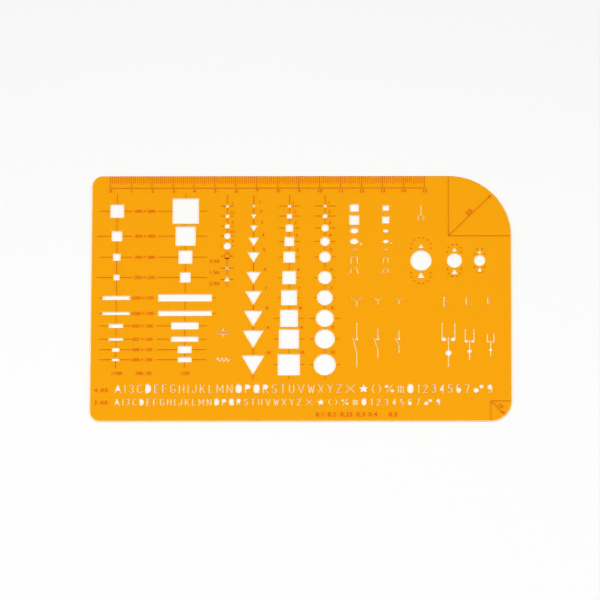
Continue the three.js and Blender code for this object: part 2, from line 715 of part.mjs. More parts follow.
function signOutlines() {
  const { left, right } = signColumns();
  return SIGN_SCALES.flatMap((scale, index) => [
    ...branchSlits(left[index], BRANCH_DROPS[index], scale),
    ...earthSlits(right[index], EARTH_DROPS[index], scale),
    ...contactSlits(left[index], CONTACTS[index]),
    ...changeoverSlits(right[index], CHANGEOVER_DROPS[index], CHANGEOVERS[index]),
  ]);
}

function allCutOuts() {
  return [
    ...fixtureHoles(),
    ...lampHoles(),
    ...shapeHoles(),
    ...capacitorSlits(),
    ...resistorSlits(),
    ...DEVICE_COLUMNS.flatMap((inset, index) => (
      deviceOutlines(inset, DEVICE_SCALES[index], DEVICE_DOTS[index])
    )),
    ...pullSwitchSlits(),
    ...transformerHoles(),
    ...signOutlines(),
    ...letterRow(LARGE_LETTERS, LARGE_LETTER_DROP),
    ...letterRow(SMALL_LETTERS, SMALL_LETTER_DROP),
  ];
}

// Solids

function extrude(shape, bottom, depth) {
  const geometry = new THREE.ExtrudeGeometry(shape, { depth, bevelEnabled: false });
  return geometry.translate(0, 0, bottom);
}

function toSolid(geometry) {
  const bare = new THREE.BufferGeometry();
  bare.setAttribute('position', geometry.getAttribute('position'));
  bare.setIndex(geometry.getIndex());
  const merged = mergeVertices(bare);
  return new wasm.Manifold(new wasm.Mesh({
    numProp: 3,
    vertProperties: new Float32Array(merged.getAttribute('position').array),
    triVerts: new Uint32Array(merged.getIndex().array),
  }));
}

function toGeometry(solid) {
  const mesh = solid.getMesh();
  const geometry = new THREE.BufferGeometry();
  geometry.setAttribute('position', new THREE.BufferAttribute(mesh.vertProperties, 3));
  geometry.setIndex(new THREE.BufferAttribute(mesh.triVerts, 1));
  geometry.computeVertexNormals();
  return geometry;
}

function sheetOutline() {
  const corners = [
    { x: -1, y: -1, radius: PLAIN_CORNER_RADIUS, start: 180 },
    { x: 1, y: -1, radius: SMALL_CORNER_RADIUS, start: 270 },
    { x: 1, y: 1, radius: LARGE_CORNER_RADIUS, start: 0 },
    { x: -1, y: 1, radius: PLAIN_CORNER_RADIUS, start: 90 },
  ];
  return corners.flatMap(({ x, y, radius, start }) => {
    const centre = point(x * (SHEET_WIDTH / 2 - radius), y * (SHEET_HEIGHT / 2 - radius));
    return arc(centre, radius, radius, start, start + 90, roundStep(radius));
  });
}

function stencilSheet() {
  const blank = toSolid(extrude(new THREE.Shape(sheetOutline()), 0, SHEET_THICKNESS));
  const depth = SHEET_THICKNESS + 2 * CUT_OVERRUN;
  const cutters = allCutOuts().map((outline) => (
    toSolid(extrude(new THREE.Shape(outline), -CUT_OVERRUN, depth))
  ));
  return toGeometry(cutters.reduce((sheet, cutter) => sheet.subtract(cutter), blank));
}

// Ink figures on the upper face, each in one outline

function inkLayer(shape) {
  return extrude(shape, SHEET_THICKNESS, INK_THICKNESS);
}

// The ruler's base line, with a stroke at every centimetre up to the edge of the sheet
function rulerPrint() {
  const half = INK_LINE / 2;
  const end = RULER_INSET + RULER_CENTIMETRES * MILLIMETRES_PER_CENTIMETRE + INK_LINE;
  const upper = RULER_DEPTH - half;
  const lower = RULER_DEPTH + half;
  const outline = [
    place(RULER_INSET - INK_LINE, upper),
    place(RULER_INSET - INK_LINE, lower),
    place(end, lower),
    place(end, upper),
  ];
  for (let centimetre = RULER_CENTIMETRES; centimetre >= 0; centimetre -= 1) {
    const inset = RULER_INSET + centimetre * MILLIMETRES_PER_CENTIMETRE;
    outline.push(place(inset + half, upper), place(inset + half, 0));
    outline.push(place(inset - half, 0), place(inset - half, upper));
  }
  return inkLayer(new THREE.Shape(outline));
}

// Lines that spread from one centre, each with a plain end or an arrowhead
function spokes(centre, rays) {
  const half = INK_LINE / 2;
  return rays.flatMap(({ degrees, length, arrow }, index) => {
    const angle = THREE.MathUtils.degToRad(degrees);
    const along = point(Math.cos(angle), Math.sin(angle));
    const left = point(-along.y, along.x);
    const at = (reach, shift) => centre.clone().addScaledVector(along, reach).addScaledVector(left, shift);
    const next = rays[(index + 1) % rays.length].degrees;
    const spread = THREE.MathUtils.degToRad(THREE.MathUtils.euclideanModulo(next - degrees, 360));
    const crotch = at(half / Math.tan(spread / 2), half);
    if (!arrow) {
      return [at(length, -half), at(length, half), crotch];
    }
    const neck = length - ARROW_LENGTH;
    const barb = ARROW_WIDTH / 2;
    return [at(neck, -half), at(neck, -barb), at(length, 0), at(neck, barb), at(neck, half), crotch];
  });
}

// A corner gauge: two radii square to the edges, and an arrow along the diagonal to the arc
function radiusPrint(centre, radius, startDegrees, clearance) {
  const rays = [
    { degrees: startDegrees, length: radius - BORDER_CLEARANCE },
    { degrees: startDegrees + 45, length: radius - clearance, arrow: true },
    { degrees: startDegrees + 90, length: radius - BORDER_CLEARANCE },
  ];
  return inkLayer(new THREE.Shape(spokes(centre, rays)));
}

// A lamp sign: a printed ring with its lowest part filled
function ringPrint() {
  const centre = place(LAMP_COLUMN, ringDrop());
  const outer = RING_DIAMETER / 2;
  const inner = outer - INK_LINE;
  const shape = new THREE.Shape(circle(centre, RING_DIAMETER));
  const chord = Math.asin((outer - RING_FILL_HEIGHT) / inner);
  const chordDegrees = THREE.MathUtils.radToDeg(chord);
  const window = arc(centre, inner, inner, -chordDegrees, 180 + chordDegrees, roundStep(inner));
  shape.holes.push(new THREE.Path(window));
  return inkLayer(shape);
}

// Assembly

const sheetPlastic = new THREE.MeshStandardMaterial({
  color: SHEET_COLOUR, roughness: 0.25, metalness: 0, transparent: true, opacity: 0.85,
});
const ink = new THREE.MeshStandardMaterial({ color: INK_COLOUR, roughness: 0.6, metalness: 0 });

function named(name, geometry, material) {
  const mesh = new THREE.Mesh(geometry, material.clone());
  mesh.name = name;
  return mesh;
}

const largeCentre = place(SHEET_WIDTH - LARGE_CORNER_RADIUS, LARGE_CORNER_RADIUS);
const smallCentre = place(SHEET_WIDTH - SMALL_CORNER_RADIUS, SHEET_HEIGHT - SMALL_CORNER_RADIUS);

const template = new THREE.Group();
template.add(
  named('stencil_sheet', stencilSheet(), sheetPlastic),
  named('ruler_print', rulerPrint(), ink),
  named('large_radius_print', radiusPrint(largeCentre, LARGE_CORNER_RADIUS, 0, LARGE_ARROW_CLEARANCE), ink),
  named('small_radius_print', radiusPrint(smallCentre, SMALL_CORNER_RADIUS, -90, SMALL_ARROW_CLEARANCE), ink),
  named('lamp_ring_print', ringPrint(), ink),
);

export default template;
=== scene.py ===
"""Looks of a lettering template: a clear orange stencil sheet with guides printed on its upper face.

Sizes are millimetres in the part's own frame. +X runs along the ruler, +Y towards the ruler edge and +Z up
from the paper, and the origin is the middle of the sheet's underside.
"""

import logging
import math
from collections.abc import Iterable, Mapping, Sequence
from dataclasses import dataclass, field, replace
from enum import Enum

import bmesh
import bpy
import numpy as np
from mathutils import Matrix, Vector


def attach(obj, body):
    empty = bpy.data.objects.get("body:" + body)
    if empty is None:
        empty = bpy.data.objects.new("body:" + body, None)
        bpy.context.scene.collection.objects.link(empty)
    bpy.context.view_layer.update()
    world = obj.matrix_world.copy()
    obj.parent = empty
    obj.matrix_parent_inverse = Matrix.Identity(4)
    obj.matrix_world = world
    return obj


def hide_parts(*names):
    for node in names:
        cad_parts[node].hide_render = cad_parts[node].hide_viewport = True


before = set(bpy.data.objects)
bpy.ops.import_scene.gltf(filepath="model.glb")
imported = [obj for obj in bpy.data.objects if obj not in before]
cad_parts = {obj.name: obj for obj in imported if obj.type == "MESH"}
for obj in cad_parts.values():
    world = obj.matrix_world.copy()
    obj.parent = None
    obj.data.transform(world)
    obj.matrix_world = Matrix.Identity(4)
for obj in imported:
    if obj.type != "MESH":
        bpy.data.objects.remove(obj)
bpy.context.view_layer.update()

LOG = logging.getLogger("lettering_template")
BODY = "root"
MM = 0.001
UNIT = (0.0, 1.0)
ARC_STEPS = 64

# Limits of the mesh work: corners that are one, sides that are parallel or have no length, and the
# sharpest corner that a rim is moved round
WELD = 1e-7
PARALLEL = 1e-12
NO_LENGTH = 1e-9
SHARPEST_MITRE = 0.5

Point = tuple[float, float]
Run = tuple[Point, Point]
Colour = tuple[float, float, float]
Socket = bpy.types.NodeSocket


class Slot(Enum):
    """Finish slots of the record."""

    PLASTIC = "orange_plastic"
    INK = "ink"


class Face(Enum):
    """Material places on the sheet's mesh."""

    CLEAR = 0
    RIM = 1
    BORDER = 2
    WALL = 3


def opaque(colour: Colour) -> tuple[float, float, float, float]:
    """Return the colour with full alpha."""
    return (*colour, 1.0)


def placed(name: str, data: bpy.types.ID) -> bpy.types.Object:
    """Put a new object into the scene.

    Args:
        name: Its name.
        data: Its mesh, curve, light or camera.

    Returns:
        The object.
    """
    item = bpy.data.objects.new(name, data)
    bpy.context.scene.collection.objects.link(item)
    return item


def final_mesh(holder: bpy.types.Object) -> bpy.types.Mesh:
    """Take the final mesh of an object, and remove the object.

    Args:
        holder: The object.

    Returns:
        The mesh.
    """
    graph = bpy.context.evaluated_depsgraph_get()
    mesh = bpy.data.meshes.new_from_object(holder.evaluated_get(graph))
    bpy.data.objects.remove(holder)
    return mesh


class NodeSketch:
    """Adds nodes to a tree and joins them."""

    def __init__(self, tree: bpy.types.NodeTree) -> None:
        """Start on the tree that the nodes go into."""
        self.tree = tree

    def feed(self, node: bpy.types.Node, inputs: Mapping[str | int, object]) -> None:
        """Set a node's inputs.

        Args:
            node: The node.
            inputs: Values or source sockets, by the name or the place of the input.
        """
        for key, value in inputs.items():
            if isinstance(value, Socket):
                self.tree.links.new(value, node.inputs[key])
            else:
                node.inputs[key].default_value = value

    def add(
        self, kind: str, inputs: Mapping[str | int, object] | None = None, **settings: object
    ) -> bpy.types.Node:
        """Add one node.

        Args:
            kind: Blender's name for the node type.
            inputs: Values or source sockets, by the name or the place of the input.
            **settings: Properties of the node.

        Returns:
            The new node.
        """
        node = self.tree.nodes.new(kind)
        for name, value in settings.items():
            setattr(node, name, value)
        self.feed(node, inputs or {})
        return node

    def math(self, operation: str, first: object, second: object) -> Socket:
        """Return the result of a Math node on two numbers or source sockets."""
        return self.add("ShaderNodeMath", {0: first, 1: second}, operation=operation).outputs[0]

    def mix(self, factor: object, first: object, second: object) -> Socket:
        """Return a mix of two colours or source sockets, where the factor is the second one's share."""
        node = self.add("ShaderNodeMix", {0: factor, 6: first, 7: second}, data_type="RGBA")
        return node.outputs[2]

    def remap(self, value: Socket, source: Point, target: Point) -> Socket:
        """Return a value mapped from one range to another, and clamped there."""
        ranges = {0: value, 1: source[0], 2: source[1], 3: target[0], 4: target[1]}
        return self.add("ShaderNodeMapRange", ranges).outputs[0]

    def noise(self, place: Socket, scale: object, detail: float, roughness: float = 0.5) -> Socket:
        """Return a noise at a place, where the scale is a number or a source socket."""
        inputs = {"Vector": place, "Scale": scale, "Detail": detail, "Roughness": roughness}
        return self.add("ShaderNodeTexNoise", inputs).outputs[0]


@dataclass
class SurfaceEffects:
    """Node groups that more than one finish uses, each built once.

    A scratch run is a turn in radians and a stretch. A noise pair is its detail and its roughness, and a
    band is the part of a noise that becomes 0 to 1.
    """

    scratch_runs: tuple[Point, ...] = ((0.35, 26.0), (-0.9, 18.0))
    scratch_scale: float = 60.0
    scratch_noise: Point = (3.0, 0.6)
    scratch_band: Point = (0.64, 0.78)
    rubbing_scale: float = 38.0
    rubbing_noise: Point = (4.0, 0.55)
    rubbing_band: Point = (0.35, 0.75)
    mottle_detail: float = 3.0
    mottle_band: Point = (0.3, 0.7)
    coarse_share: float = 0.65
    mark_squeeze: float = 0.06
    mark_noise: Point = (2.0, 0.7)
    wear: bpy.types.NodeTree = field(init=False)
    mottle: bpy.types.NodeTree = field(init=False)
    cutter_marks: bpy.types.NodeTree = field(init=False)

    def __post_init__(self) -> None:
        """Build the groups."""
        self.wear = self._wear()
        self.mottle = self._mottle()
        self.cutter_marks = self._cutter_marks()

    @staticmethod
    def _start(
        name: str, inputs: Mapping[str, float], outputs: Sequence[str]
    ) -> tuple[NodeSketch, Mapping[str, Socket]]:
        """Start a group with a Vector input and named numbers.

        Args:
            name: The group's name.
            inputs: The numbers that it takes, with their default values.
            outputs: The values that it gives.

        Returns:
            The group's sketch and the sockets of its inputs.
        """
        tree = bpy.data.node_groups.new(name, "ShaderNodeTree")
        tree.interface.new_socket("Vector", in_out="INPUT", socket_type="NodeSocketVector")
        for label, value in inputs.items():
            socket = tree.interface.new_socket(label, in_out="INPUT", socket_type="NodeSocketFloat")
            socket.default_value = value
        for label in outputs:
            tree.interface.new_socket(label, in_out="OUTPUT", socket_type="NodeSocketFloat")
        sketch = NodeSketch(tree)
        return sketch, sketch.add("NodeGroupInput").outputs

    def _wear(self) -> bpy.types.NodeTree:
        """Fine scratches in two directions and rubbed patches, from handling.

        Returns:
            The group, which gives Scratches and Rubbing from 0 to 1.
        """
        sketch, source = self._start("handling_wear", {"Scale": 1.0}, ("Scratches", "Rubbing"))
        strokes = []
        for turn, stretch in self.scratch_runs:
            scale = (self.scratch_scale, self.scratch_scale * stretch, self.scratch_scale)
            turned = {"Vector": source["Vector"], "Rotation": (0, 0, turn), "Scale": scale}
            place = sketch.add("ShaderNodeMapping", turned).outputs[0]
            noise = sketch.noise(place, source["Scale"], *self.scratch_noise)
            strokes.append(sketch.remap(noise, self.scratch_band, UNIT))
        patches = sketch.noise(source["Vector"], self.rubbing_scale, *self.rubbing_noise)
        sketch.add("NodeGroupOutput", {
            "Scratches": sketch.math("MAXIMUM", *strokes),
            "Rubbing": sketch.remap(patches, self.rubbing_band, UNIT),
        })
        return sketch.tree

    def _mottle(self) -> bpy.types.NodeTree:
        """Slow and fine unevenness of a colour.

        Returns:
            The group, which gives a Value from 0 to 1.
        """
        sketch, source = self._start("mottle", {"Coarse": 20.0, "Fine": 900.0}, ("Value",))
        shares = {"Coarse": self.coarse_share, "Fine": 1 - self.coarse_share}
        coarse, fine = (
            sketch.math("MULTIPLY", sketch.noise(source["Vector"], source[label], self.mottle_detail), share)
            for label, share in shares.items()
        )
        both = sketch.math("ADD", coarse, fine)
        sketch.add("NodeGroupOutput", {"Value": sketch.remap(both, self.mottle_band, UNIT)})
        return sketch.tree

    def _cutter_marks(self) -> bpy.types.NodeTree:
        """Fine lines that a cutter leaves up and down a cut edge.

        Returns:
            The group, which gives a Height from 0 to 1.
        """
        sketch, source = self._start("cutter_marks", {"Pitch": 5000.0}, ("Height",))
        squeezed = {"Vector": source["Vector"], "Scale": (1, 1, self.mark_squeeze)}
        place = sketch.add("ShaderNodeMapping", squeezed).outputs[0]
        sketch.add("NodeGroupOutput", {"Height": sketch.noise(place, source["Pitch"], *self.mark_noise)})
        return sketch.tree


class MaterialSketch(NodeSketch):
    """A material in the making, with one Principled shader and the place that its patterns read."""

    def __init__(self, name: str, effects: SurfaceEffects) -> None:
        """Start a material.

        Args:
            name: The material's name.
            effects: The shared effects.
        """
        self.material = bpy.data.materials.new(name)
        self.material.use_nodes = True
        super().__init__(self.material.node_tree)
        self.tree.nodes.clear()
        self.effects = effects
        self.shader = self.add("ShaderNodeBsdfPrincipled")
        self.place = self.add("ShaderNodeTexCoord").outputs["Object"]

    def effect(self, tree: bpy.types.NodeTree, **values: float) -> Mapping[str, Socket]:
        """Place a shared effect with its own values, and return its outputs."""
        return self.add("ShaderNodeGroup", {"Vector": self.place, **values}, node_tree=tree).outputs

    def mottle(self, scales: Point) -> Socket:
        """Return the shared mottle at a coarse and a fine scale."""
        return self.effect(self.effects.mottle, Coarse=scales[0], Fine=scales[1])["Value"]

    def relief(self, height: Socket, strength: float, depth: float, sunk: bool = False) -> Socket:
        """Return the normals of a fine relief, where the depth is in millimetres."""
        inputs = {"Strength": strength, "Distance": depth * MM, "Height": height}
        return self.add("ShaderNodeBump", inputs, invert=sunk).outputs[0]

    def close(self, values: Mapping[str, object], lamp_tint: Colour | None = None) -> bpy.types.Material:
        """Set the shader and end the material.

        Args:
            values: Values or source sockets of the shader's inputs.
            lamp_tint: What the surface leaves of a lamp's light, where lamps shine through it.

        Returns:
            The material.
        """
        self.feed(self.shader, values)
        surface = self.shader.outputs[0]
        if lamp_tint:
            lamps = self.add("ShaderNodeBsdfTransparent", {"Color": opaque(lamp_tint)}).outputs[0]
            path = self.add("ShaderNodeLightPath").outputs
            for ray in ("Is Diffuse Ray", "Is Shadow Ray"):
                surface = self.add("ShaderNodeMixShader", {0: path[ray], 1: surface, 2: lamps}).outputs[0]
        self.add("ShaderNodeOutputMaterial", {"Surface": surface})
        return self.material


@dataclass(frozen=True)
class ClearPlastic:
    """Dyed clear plastic on the two flat faces of the sheet."""

    name: str = "clear_orange_plastic"
    tint: Colour = (1.0, 0.64, 0.052)
    deep_tint: Colour = (1.0, 0.62, 0.046)
    lamp_tint: Colour = (1.0, 0.8, 0.26)
    mottle: Point = (14.0, 240.0)
    index: float = 1.3
    roughness: Point = (0.03, 0.11)
    scratch_scale: float = 1.0
    scratch_strength: float = 0.25
    scratch_depth: float = 0.004
    rubbing_share: float = 0.35

    def material(self, effects: SurfaceEffects) -> bpy.types.Material:
        """Make the material.

        Args:
            effects: The shared effects.

        Returns:
            The material.
        """
        sketch = MaterialSketch(self.name, effects)
        wear = sketch.effect(effects.wear, Scale=self.scratch_scale)
        rubbing = sketch.math("MULTIPLY", wear["Rubbing"], self.rubbing_share)
        marks = sketch.math("MAXIMUM", wear["Scratches"], rubbing)
        values = {
            "Base Color": sketch.mix(sketch.mottle(self.mottle), opaque(self.tint), opaque(self.deep_tint)),
            "Roughness": sketch.remap(marks, UNIT, self.roughness),
            "Normal": sketch.relief(wear["Scratches"], self.scratch_strength, self.scratch_depth, sunk=True),
            "IOR": self.index,
            "Transmission Weight": 1.0,
        }
        return sketch.close(values, self.lamp_tint)


@dataclass(frozen=True)
class CutEdge:
    """A frosted edge where the sheet was cut. Where its colour is paler than the plastic, that is painted
    light, standing in for light caught inside the plastic.
    """

    name: str
    colour: Colour
    deep_colour: Colour
    lamp_tint: Colour = (1.0, 0.8, 0.26)
    mottle: Point = (60.0, 2200.0)
    roughness: Point = (0.38, 0.62)
    mark_pitch: float = 4200.0
    mark_band: Point = (0.3, 0.7)
    mark_strength: float = 0.5
    mark_depth: float = 0.015

    def material(self, effects: SurfaceEffects) -> bpy.types.Material:
        """Make the material.

        Args:
            effects: The shared effects.

        Returns:
            The material.
        """
        sketch = MaterialSketch(self.name, effects)
        marks = sketch.effect(effects.cutter_marks, Pitch=self.mark_pitch)["Height"]
        mottle = sketch.mottle(self.mottle)
        values = {
            "Base Color": sketch.mix(mottle, opaque(self.colour), opaque(self.deep_colour)),
            "Roughness": sketch.remap(marks, self.mark_band, self.roughness),
            "Normal": sketch.relief(marks, self.mark_strength, self.mark_depth),
        }
        return sketch.close(values, self.lamp_tint)


@dataclass(frozen=True)
class InkChange:
    """Another colour of an ink, past a level in millimetres along an axis of the sheet."""

    colour: Colour
    axis: tuple[float, float, float]
    levels: Point

    def share(self, sketch: MaterialSketch) -> Socket:
        """Give the share of the other colour.

        Args:
            sketch: The ink's sketch.

        Returns:
            The share at each place.
        """
        inputs = {0: sketch.place, 1: self.axis}
        level = sketch.add("ShaderNodeVectorMath", inputs, operation="DOT_PRODUCT").outputs["Value"]
        return sketch.remap(level, (self.levels[0] * MM, self.levels[1] * MM), UNIT)


@dataclass(frozen=True)
class PrintingInk:
    """Red-brown printing ink, uneven in its cover and a little rubbed, that lets some light through."""

    name: str
    colour: Colour
    thin_colour: Colour
    rubbed_colour: Colour
    lamp_tint: Colour
    change: InkChange | None = None
    mottle: Point = (90.0, 3000.0)
    roughness: Point = (0.42, 0.68)
    shine: float = 0.1
    scratch_scale: float = 1.6
    rubbed_share: float = 0.6
    relief_strength: float = 0.3
    relief_depth: float = 0.006

    def material(self, effects: SurfaceEffects) -> bpy.types.Material:
        """Make the material.

        Args:
            effects: The shared effects.

        Returns:
            The material.
        """
        sketch = MaterialSketch(self.name, effects)
        mottle = sketch.mottle(self.mottle)
        cover = sketch.mix(mottle, opaque(self.colour), opaque(self.thin_colour))
        if self.change:
            cover = sketch.mix(self.change.share(sketch), cover, opaque(self.change.colour))
        scratches = sketch.effect(effects.wear, Scale=self.scratch_scale)["Scratches"]
        rubbed = sketch.math("MULTIPLY", scratches, self.rubbed_share)
        values = {
            "Base Color": sketch.mix(rubbed, cover, opaque(self.rubbed_colour)),
            "Roughness": sketch.remap(mottle, UNIT, self.roughness),
            "Normal": sketch.relief(mottle, self.relief_strength, self.relief_depth),
            "Specular IOR Level": self.shine,
        }
        return sketch.close(values, self.lamp_tint)


@dataclass(frozen=True)
class PaleFloor:
    """A plain pale tabletop."""

    name: str = "pale_floor"
    colour: Colour = (0.93, 0.93, 0.925)
    shade: Colour = (0.915, 0.915, 0.91)
    mottle: Point = (3.0, 300.0)
    roughness: float = 0.9
    shine: float = 0.1

    def material(self, effects: SurfaceEffects) -> bpy.types.Material:
        """Make the material.

        Args:
            effects: The shared effects.

        Returns:
            The material.
        """
        sketch = MaterialSketch(self.name, effects)
        return sketch.close({
            "Base Color": sketch.mix(sketch.mottle(self.mottle), opaque(self.colour), opaque(self.shade)),
            "Roughness": self.roughness,
            "Specular IOR Level": self.shine,
        })


# The narrow rims keep the plastic's orange. The border is a real milled bevel, but its cream colour is
# painted light, and the near-white walls of wide cut-outs are painted light too: lit copies of the same cut
# edge.
SHEET_FINISHES: Mapping[Face, ClearPlastic | CutEdge] = {
    Face.CLEAR: ClearPlastic(),
    Face.RIM: CutEdge("cut_rim", (1.0, 0.62, 0.09), (1.0, 0.56, 0.07)),
    Face.BORDER: CutEdge("milled_border_painted_light", (1.0, 0.82, 0.5), (1.0, 0.74, 0.38)),
    Face.WALL: CutEdge("cut_wall_painted_light", (1.0, 0.95, 0.78), (1.0, 0.9, 0.66)),
}

LINE_INK = PrintingInk(
    "line_ink",
    colour=(0.38, 0.03, 0.002),
    thin_colour=(0.5, 0.05, 0.003),
    rubbed_colour=(0.58, 0.1, 0.008),
    lamp_tint=(0.85, 0.35, 0.1),
)
NUMBER_INK = PrintingInk(
    "number_ink",
    colour=(0.55, 0.02, 0.002),
    thin_colour=(0.64, 0.04, 0.003),
    rubbed_colour=(0.7, 0.1, 0.008),
    lamp_tint=(0.95, 0.3, 0.08),
)
ARROW_HEAD = (0.66, 0.15, 0.006)
LAMP_FOOT = (0.055, 0.001, 0.0)
SIGN_INKS: Mapping[str, PrintingInk] = {
    "large_radius_print": replace(
        LINE_INK, name="large_gauge_ink", change=InkChange(ARROW_HEAD, (1, 1, 0), (138.9, 139.1))
    ),
    "small_radius_print": replace(
        LINE_INK, name="small_gauge_ink", change=InkChange(ARROW_HEAD, (1, -1, 0), (151.0, 151.1))
    ),
    "lamp_ring_print": replace(
        NUMBER_INK, name="lamp_ink", change=InkChange(LAMP_FOOT, (0, -1, 0), (-20.5, -20.3))
    ),
}


class SheetEdges:
    """The closed edges of the sheet's upper face, read from its solid."""

    def __init__(self, node: bpy.types.Object) -> None:
        """Read the edges.

        Args:
            node: The solid of the sheet.
        """
        solid = bmesh.new()
        solid.from_mesh(node.data)
        bmesh.ops.remove_doubles(solid, verts=solid.verts, dist=WELD)
        self.loops = self._chains(solid)
        solid.free()
        self.border = max(self.loops, key=self._area)
        self._starts = np.concatenate([np.array(loop) for loop in self.loops])
        self._ends = np.concatenate([np.roll(np.array(loop), -1, axis=0) for loop in self.loops])

    @staticmethod
    def _chains(solid: bmesh.types.BMesh) -> list[list[Point]]:
        """Chain the rims of the upper face, with the plastic on their left.

        Args:
            solid: The merged solid.

        Returns:
            The corners of each rim, in millimetres.
        """
        top = max(vert.co.z for vert in solid.verts)
        upward = {face for face in solid.faces if all(top - vert.co.z < WELD for vert in face.verts)}
        following = {}
        for face in upward:
            for corner in face.loops:
                if not all(other in upward for other in corner.edge.link_faces):
                    following[corner.vert] = corner.link_loop_next.vert
        chains = []
        while following:
            start, vert = following.popitem()
            chain = [start]
            while vert is not start:
                chain.append(vert)
                vert = following.pop(vert)
            chains.append([(corner.co.x / MM, corner.co.y / MM) for corner in chain])
        return chains

    @staticmethod
    def _area(loop: Sequence[Point]) -> float:
        """Return the signed area of a loop, positive where it runs counter-clockwise."""
        x, y = np.array(loop).T
        return 0.5 * float(np.sum(x * np.roll(y, -1) - np.roll(x, -1) * y))

    def width(self, loop: Sequence[Point]) -> float:
        """Return twice a loop's area by its length: the width of a slit, or half a square's side."""
        sides = np.roll(loop, -1, axis=0) - np.array(loop)
        return 2 * abs(self._area(loop)) / float(np.linalg.norm(sides, axis=1).sum())

    def _plastic_at(self, place: np.ndarray) -> bool:
        """Tell whether a place is on the plastic.

        Args:
            place: The place.

        Returns:
            True on the plastic, and False in a cut-out or outside.
        """
        spans = (self._starts[:, 1] > place[1]) != (self._ends[:, 1] > place[1])
        start, end = self._starts[spans], self._ends[spans]
        along = (place[1] - start[:, 1]) / (end[:, 1] - start[:, 1])
        return int(np.sum(start[:, 0] + along * (end[:, 0] - start[:, 0]) > place[0])) % 2 == 1

    def runs(self, start: Point, end: Point, clearance: float) -> list[Run]:
        """Split a straight line where it meets cut-outs.

        Args:
            start: Where the line starts.
            end: Where it ends.
            clearance: The gap that it leaves at each rim.

        Returns:
            The parts of the line that lie on the plastic.
        """
        origin = np.array(start)
        along = np.array(end) - origin
        length = float(np.hypot(*along))
        sides = self._ends - self._starts
        offset = self._starts - origin
        slope = along[0] * sides[:, 1] - along[1] * sides[:, 0]
        slope = np.where(np.abs(slope) < PARALLEL, np.nan, slope)
        reach = (offset[:, 0] * sides[:, 1] - offset[:, 1] * sides[:, 0]) / slope
        share = (offset[:, 0] * along[1] - offset[:, 1] * along[0]) / slope
        met = (share >= 0) & (share < 1) & (reach > 0) & (reach < 1)
        stops = [0.0, *np.sort(reach[met]).tolist(), 1.0]
        gap = clearance / length
        runs = []
        for low, high in zip(stops, stops[1:]):
            first = low + gap if low > 0 else low
            last = high - gap if high < 1 else high
            if last > first and self._plastic_at(origin + along * (low + high) / 2):
                runs.append((tuple(origin + along * first), tuple(origin + along * last)))
        return runs


def inset(loop: Sequence[Point], depths: Sequence[float]) -> list[Point]:
    """Move a closed rim into the plastic on its left.

    Args:
        loop: The corners of the rim.
        depths: How far each corner's two sides move.

    Returns:
        The moved corners.
    """
    corners = np.array(loop)
    sides = np.roll(corners, -1, axis=0) - corners
    sides /= np.maximum(np.linalg.norm(sides, axis=1, keepdims=True), NO_LENGTH)
    after = np.column_stack([-sides[:, 1], sides[:, 0]])
    before = np.roll(after, 1, axis=0)
    turn = 1 + np.sum(before * after, axis=1, keepdims=True)
    mitre = (before + after) / np.maximum(turn, SHARPEST_MITRE)
    moved = corners + mitre * np.array(depths)[:, None]
    return [tuple(corner) for corner in moved.tolist()]


def finished_piece(
    name: str, mesh: bmesh.types.BMesh, materials: Iterable[bpy.types.Material]
) -> bpy.types.Object:
    """Turn a mesh into a piece that rides with the part.

    Args:
        name: The piece's name.
        mesh: Its mesh, which is freed.
        materials: Its materials, in the order of the mesh's material places.

    Returns:
        The piece.
    """
    data = bpy.data.meshes.new(name)
    mesh.to_mesh(data)
    mesh.free()
    for material in materials:
        data.materials.append(material)
    piece = placed(name, data)
    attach(piece, BODY)
    LOG.info("%s: %d faces", name, len(data.polygons))
    return piece


